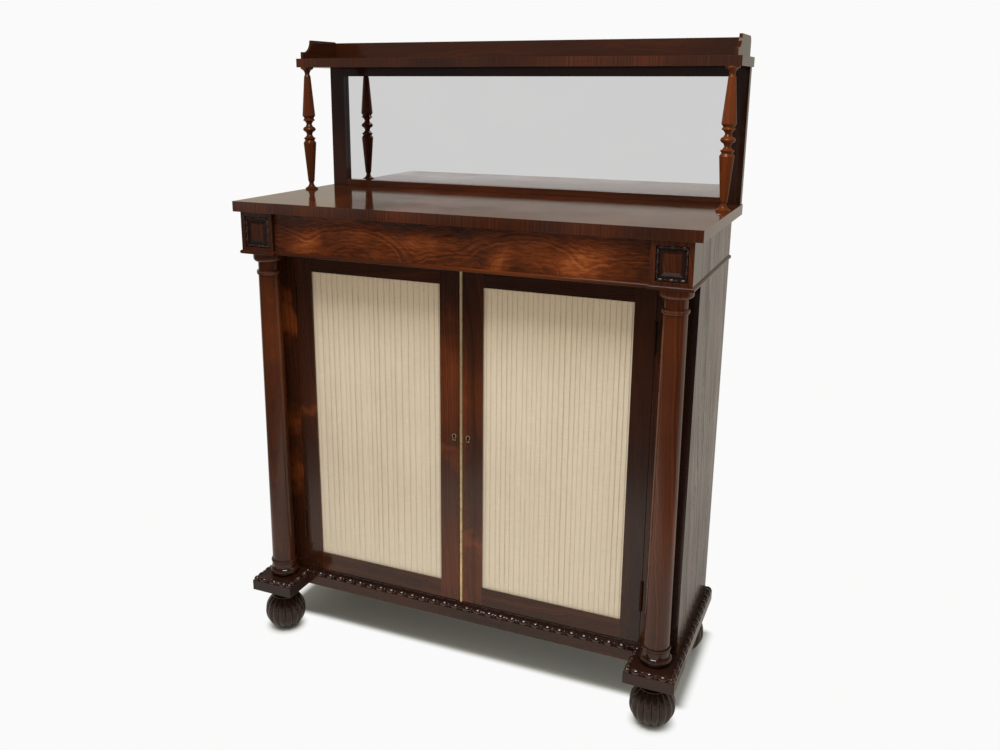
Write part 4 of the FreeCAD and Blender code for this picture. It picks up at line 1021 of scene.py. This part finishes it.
def floor_finish():
    """A pale floor, shaded under the cabinet and as white as the surround elsewhere."""
    paint = Paint("floor", IOR=1.45, Specular_IOR_Level=0.0)
    path = paint.node("LightPath").outputs
    place = paint.place()
    spot = paint.parts(place)
    # Painted shade on the floor under the cabinet, darker to the left, over the real shadow.
    shaded = paint.blend(paint.step(spot["X"], -0.40, 0.40), SHADE_LEFT, SHADE_RIGHT)
    shaded = paint.dim(shaded, paint.step(paint.noise(place, 30.0, 2.0), 0.3, 0.7, 0.98, 1.0))
    lit = paint.blend(path["Is Camera Ray"], FLOOR_LIT, shaded)
    paint.finish(paint.blend(path["Is Glossy Ray"], lit, FLOOR_CLOSE), 0.9)

    middle_way = paint.vector("SUBTRACT", place, SHADE_MIDDLE)
    beyond = paint.vector("SUBTRACT", paint.vector("ABSOLUTE", middle_way), SHADE_HALF)
    beyond = paint.vector("DIVIDE", paint.vector("MAXIMUM", beyond, (0.0, 0.0, 0.0)), SHADE_FADE)
    outside = paint.step(paint.vector("LENGTH", beyond), 0.0, 1.0)
    folded = paint.combine(paint.math("ABSOLUTE", spot["X"]), spot["Y"], 0.0)
    from_foot = paint.vector("LENGTH", paint.vector("SUBTRACT", folded, FOOT_PLACE))
    off_foot = paint.step(from_foot, *FOOT_FADE)
    seen_white = paint.math("MULTIPLY", paint.math("MINIMUM", outside, off_foot), path["Is Camera Ray"])
    far = paint.step(paint.vector("LENGTH", middle_way), *FLOOR_FAR)
    glossy_far = paint.math("MULTIPLY", far, path["Is Glossy Ray"])

    around = paint.math("MULTIPLY", paint.vector("LENGTH", place), -1.0)
    behind = paint.step(spot["Y"], 0.1, 0.3)
    reach = paint.math("ADD", paint.math("MULTIPLY", spot["Y"], behind),
                       paint.math("MULTIPLY", around, paint.math("SUBTRACT", 1.0, behind)))
    reach = paint.math("DIVIDE", paint.math("ADD", reach, FLOOR_BEFORE), FLOOR_DEPTH)
    colour = paint.blend(path["Is Camera Ray"], paint.ramp(reach, FLOOR_SEEN), STUDIO_WHITE)
    white = paint.node("Emission", {"Color": colour, "Strength": 1.0}).outputs[0]
    shown = paint.choose(paint.math("ADD", seen_white, glossy_far), paint.surface.outputs[0], white)
    paint.feed(paint.tree.nodes["Material Output"].inputs["Surface"], shown)
    return paint.material


def make_floor():
    mesh = bmesh.new()
    mesh.faces.new([mesh.verts.new((x * FLOOR_HALF, y * FLOOR_HALF, 0))
                    for x, y in ((-1, -1), (1, -1), (1, 1), (-1, 1))])
    floor = new_object("floor", mesh, floor_finish(), False)


class Surround(Paint):
    """A world built with the same helpers as a material."""

    def __init__(self, name):
        world = bpy.data.worlds.new(name)
        world.use_nodes = True
        self.tree = world.node_tree
        bpy.context.scene.world = world

    def glow(self, colour, strength):
        return self.node("Background", {"Color": rgba(colour), "Strength": strength}).outputs[0]


def make_world():
    """White behind the cabinet, an even dome for its light, and a plain room for its reflections."""
    world = Surround("studio")
    path = world.node("LightPath").outputs
    x, y, z = world.parts(world.node("TexCoord").outputs["Generated"])
    height = world.math("ADD", z, ELEVATION_SHIFT)
    over_foot = world.step(z, *ROOM_FOOT)
    darker = world.math("MULTIPLY", over_foot, world.step(x, *ROOM_SIDE, *ROOM_DARKENS))
    before = world.blend(darker, world.ramp(height, ROOM_BEFORE), ROOM_DARK)
    window = world.math("MULTIPLY", over_foot, world.step(z, *WINDOW_HEAD, 1.0, 0.0))
    window = world.math("MULTIPLY", window, world.step(x, *WINDOW_SIDE))
    before = world.blend(window, before, WHITE)
    room = world.blend(world.step(y, *ROOM_TURN), before, world.ramp(height, ROOM_BEHIND))
    shown = world.choose(path["Is Glossy Ray"], world.glow(DOME_WHITE, DOME), world.glow(room, 1.0))
    shown = world.choose(path["Is Camera Ray"], shown, world.glow(STUDIO_WHITE, 1.0))
    world.feed(world.tree.nodes["World Output"].inputs["Surface"], shown)


def make_key():
    """The one lamp: broad and soft, over the cabinet's front."""
    data = bpy.data.lights.new("key", "AREA")
    data.shape = "RECTANGLE"
    data.size, data.size_y = KEY_SIZE
    data.energy = KEY_POWER
    key = bpy.data.objects.new("key", data)
    key.location = KEY_PLACE
    key.rotation_euler = (Vector(KEY_TARGET) - Vector(KEY_PLACE)).to_track_quat("-Z", "Y").to_euler()
    bpy.context.scene.collection.objects.link(key)


def make_camera():
    data = bpy.data.cameras.new("camera")
    data.sensor_width = CAMERA_SENSOR
    data.lens = CAMERA_LENS
    data.shift_x, data.shift_y = CAMERA_SHIFT
    camera = bpy.data.objects.new("camera", data)
    turn = Matrix.Translation(CAMERA_PLACE)
    for degrees, axis in CAMERA_TURNS:
        turn = turn @ Matrix.Rotation(math.radians(degrees), 4, axis)
    camera.matrix_world = turn
    bpy.context.scene.collection.objects.link(camera)
    bpy.context.scene.camera = camera


make_floor()
make_world()
make_key()
make_camera()
bpy.context.scene.view_settings.view_transform = "Standard"
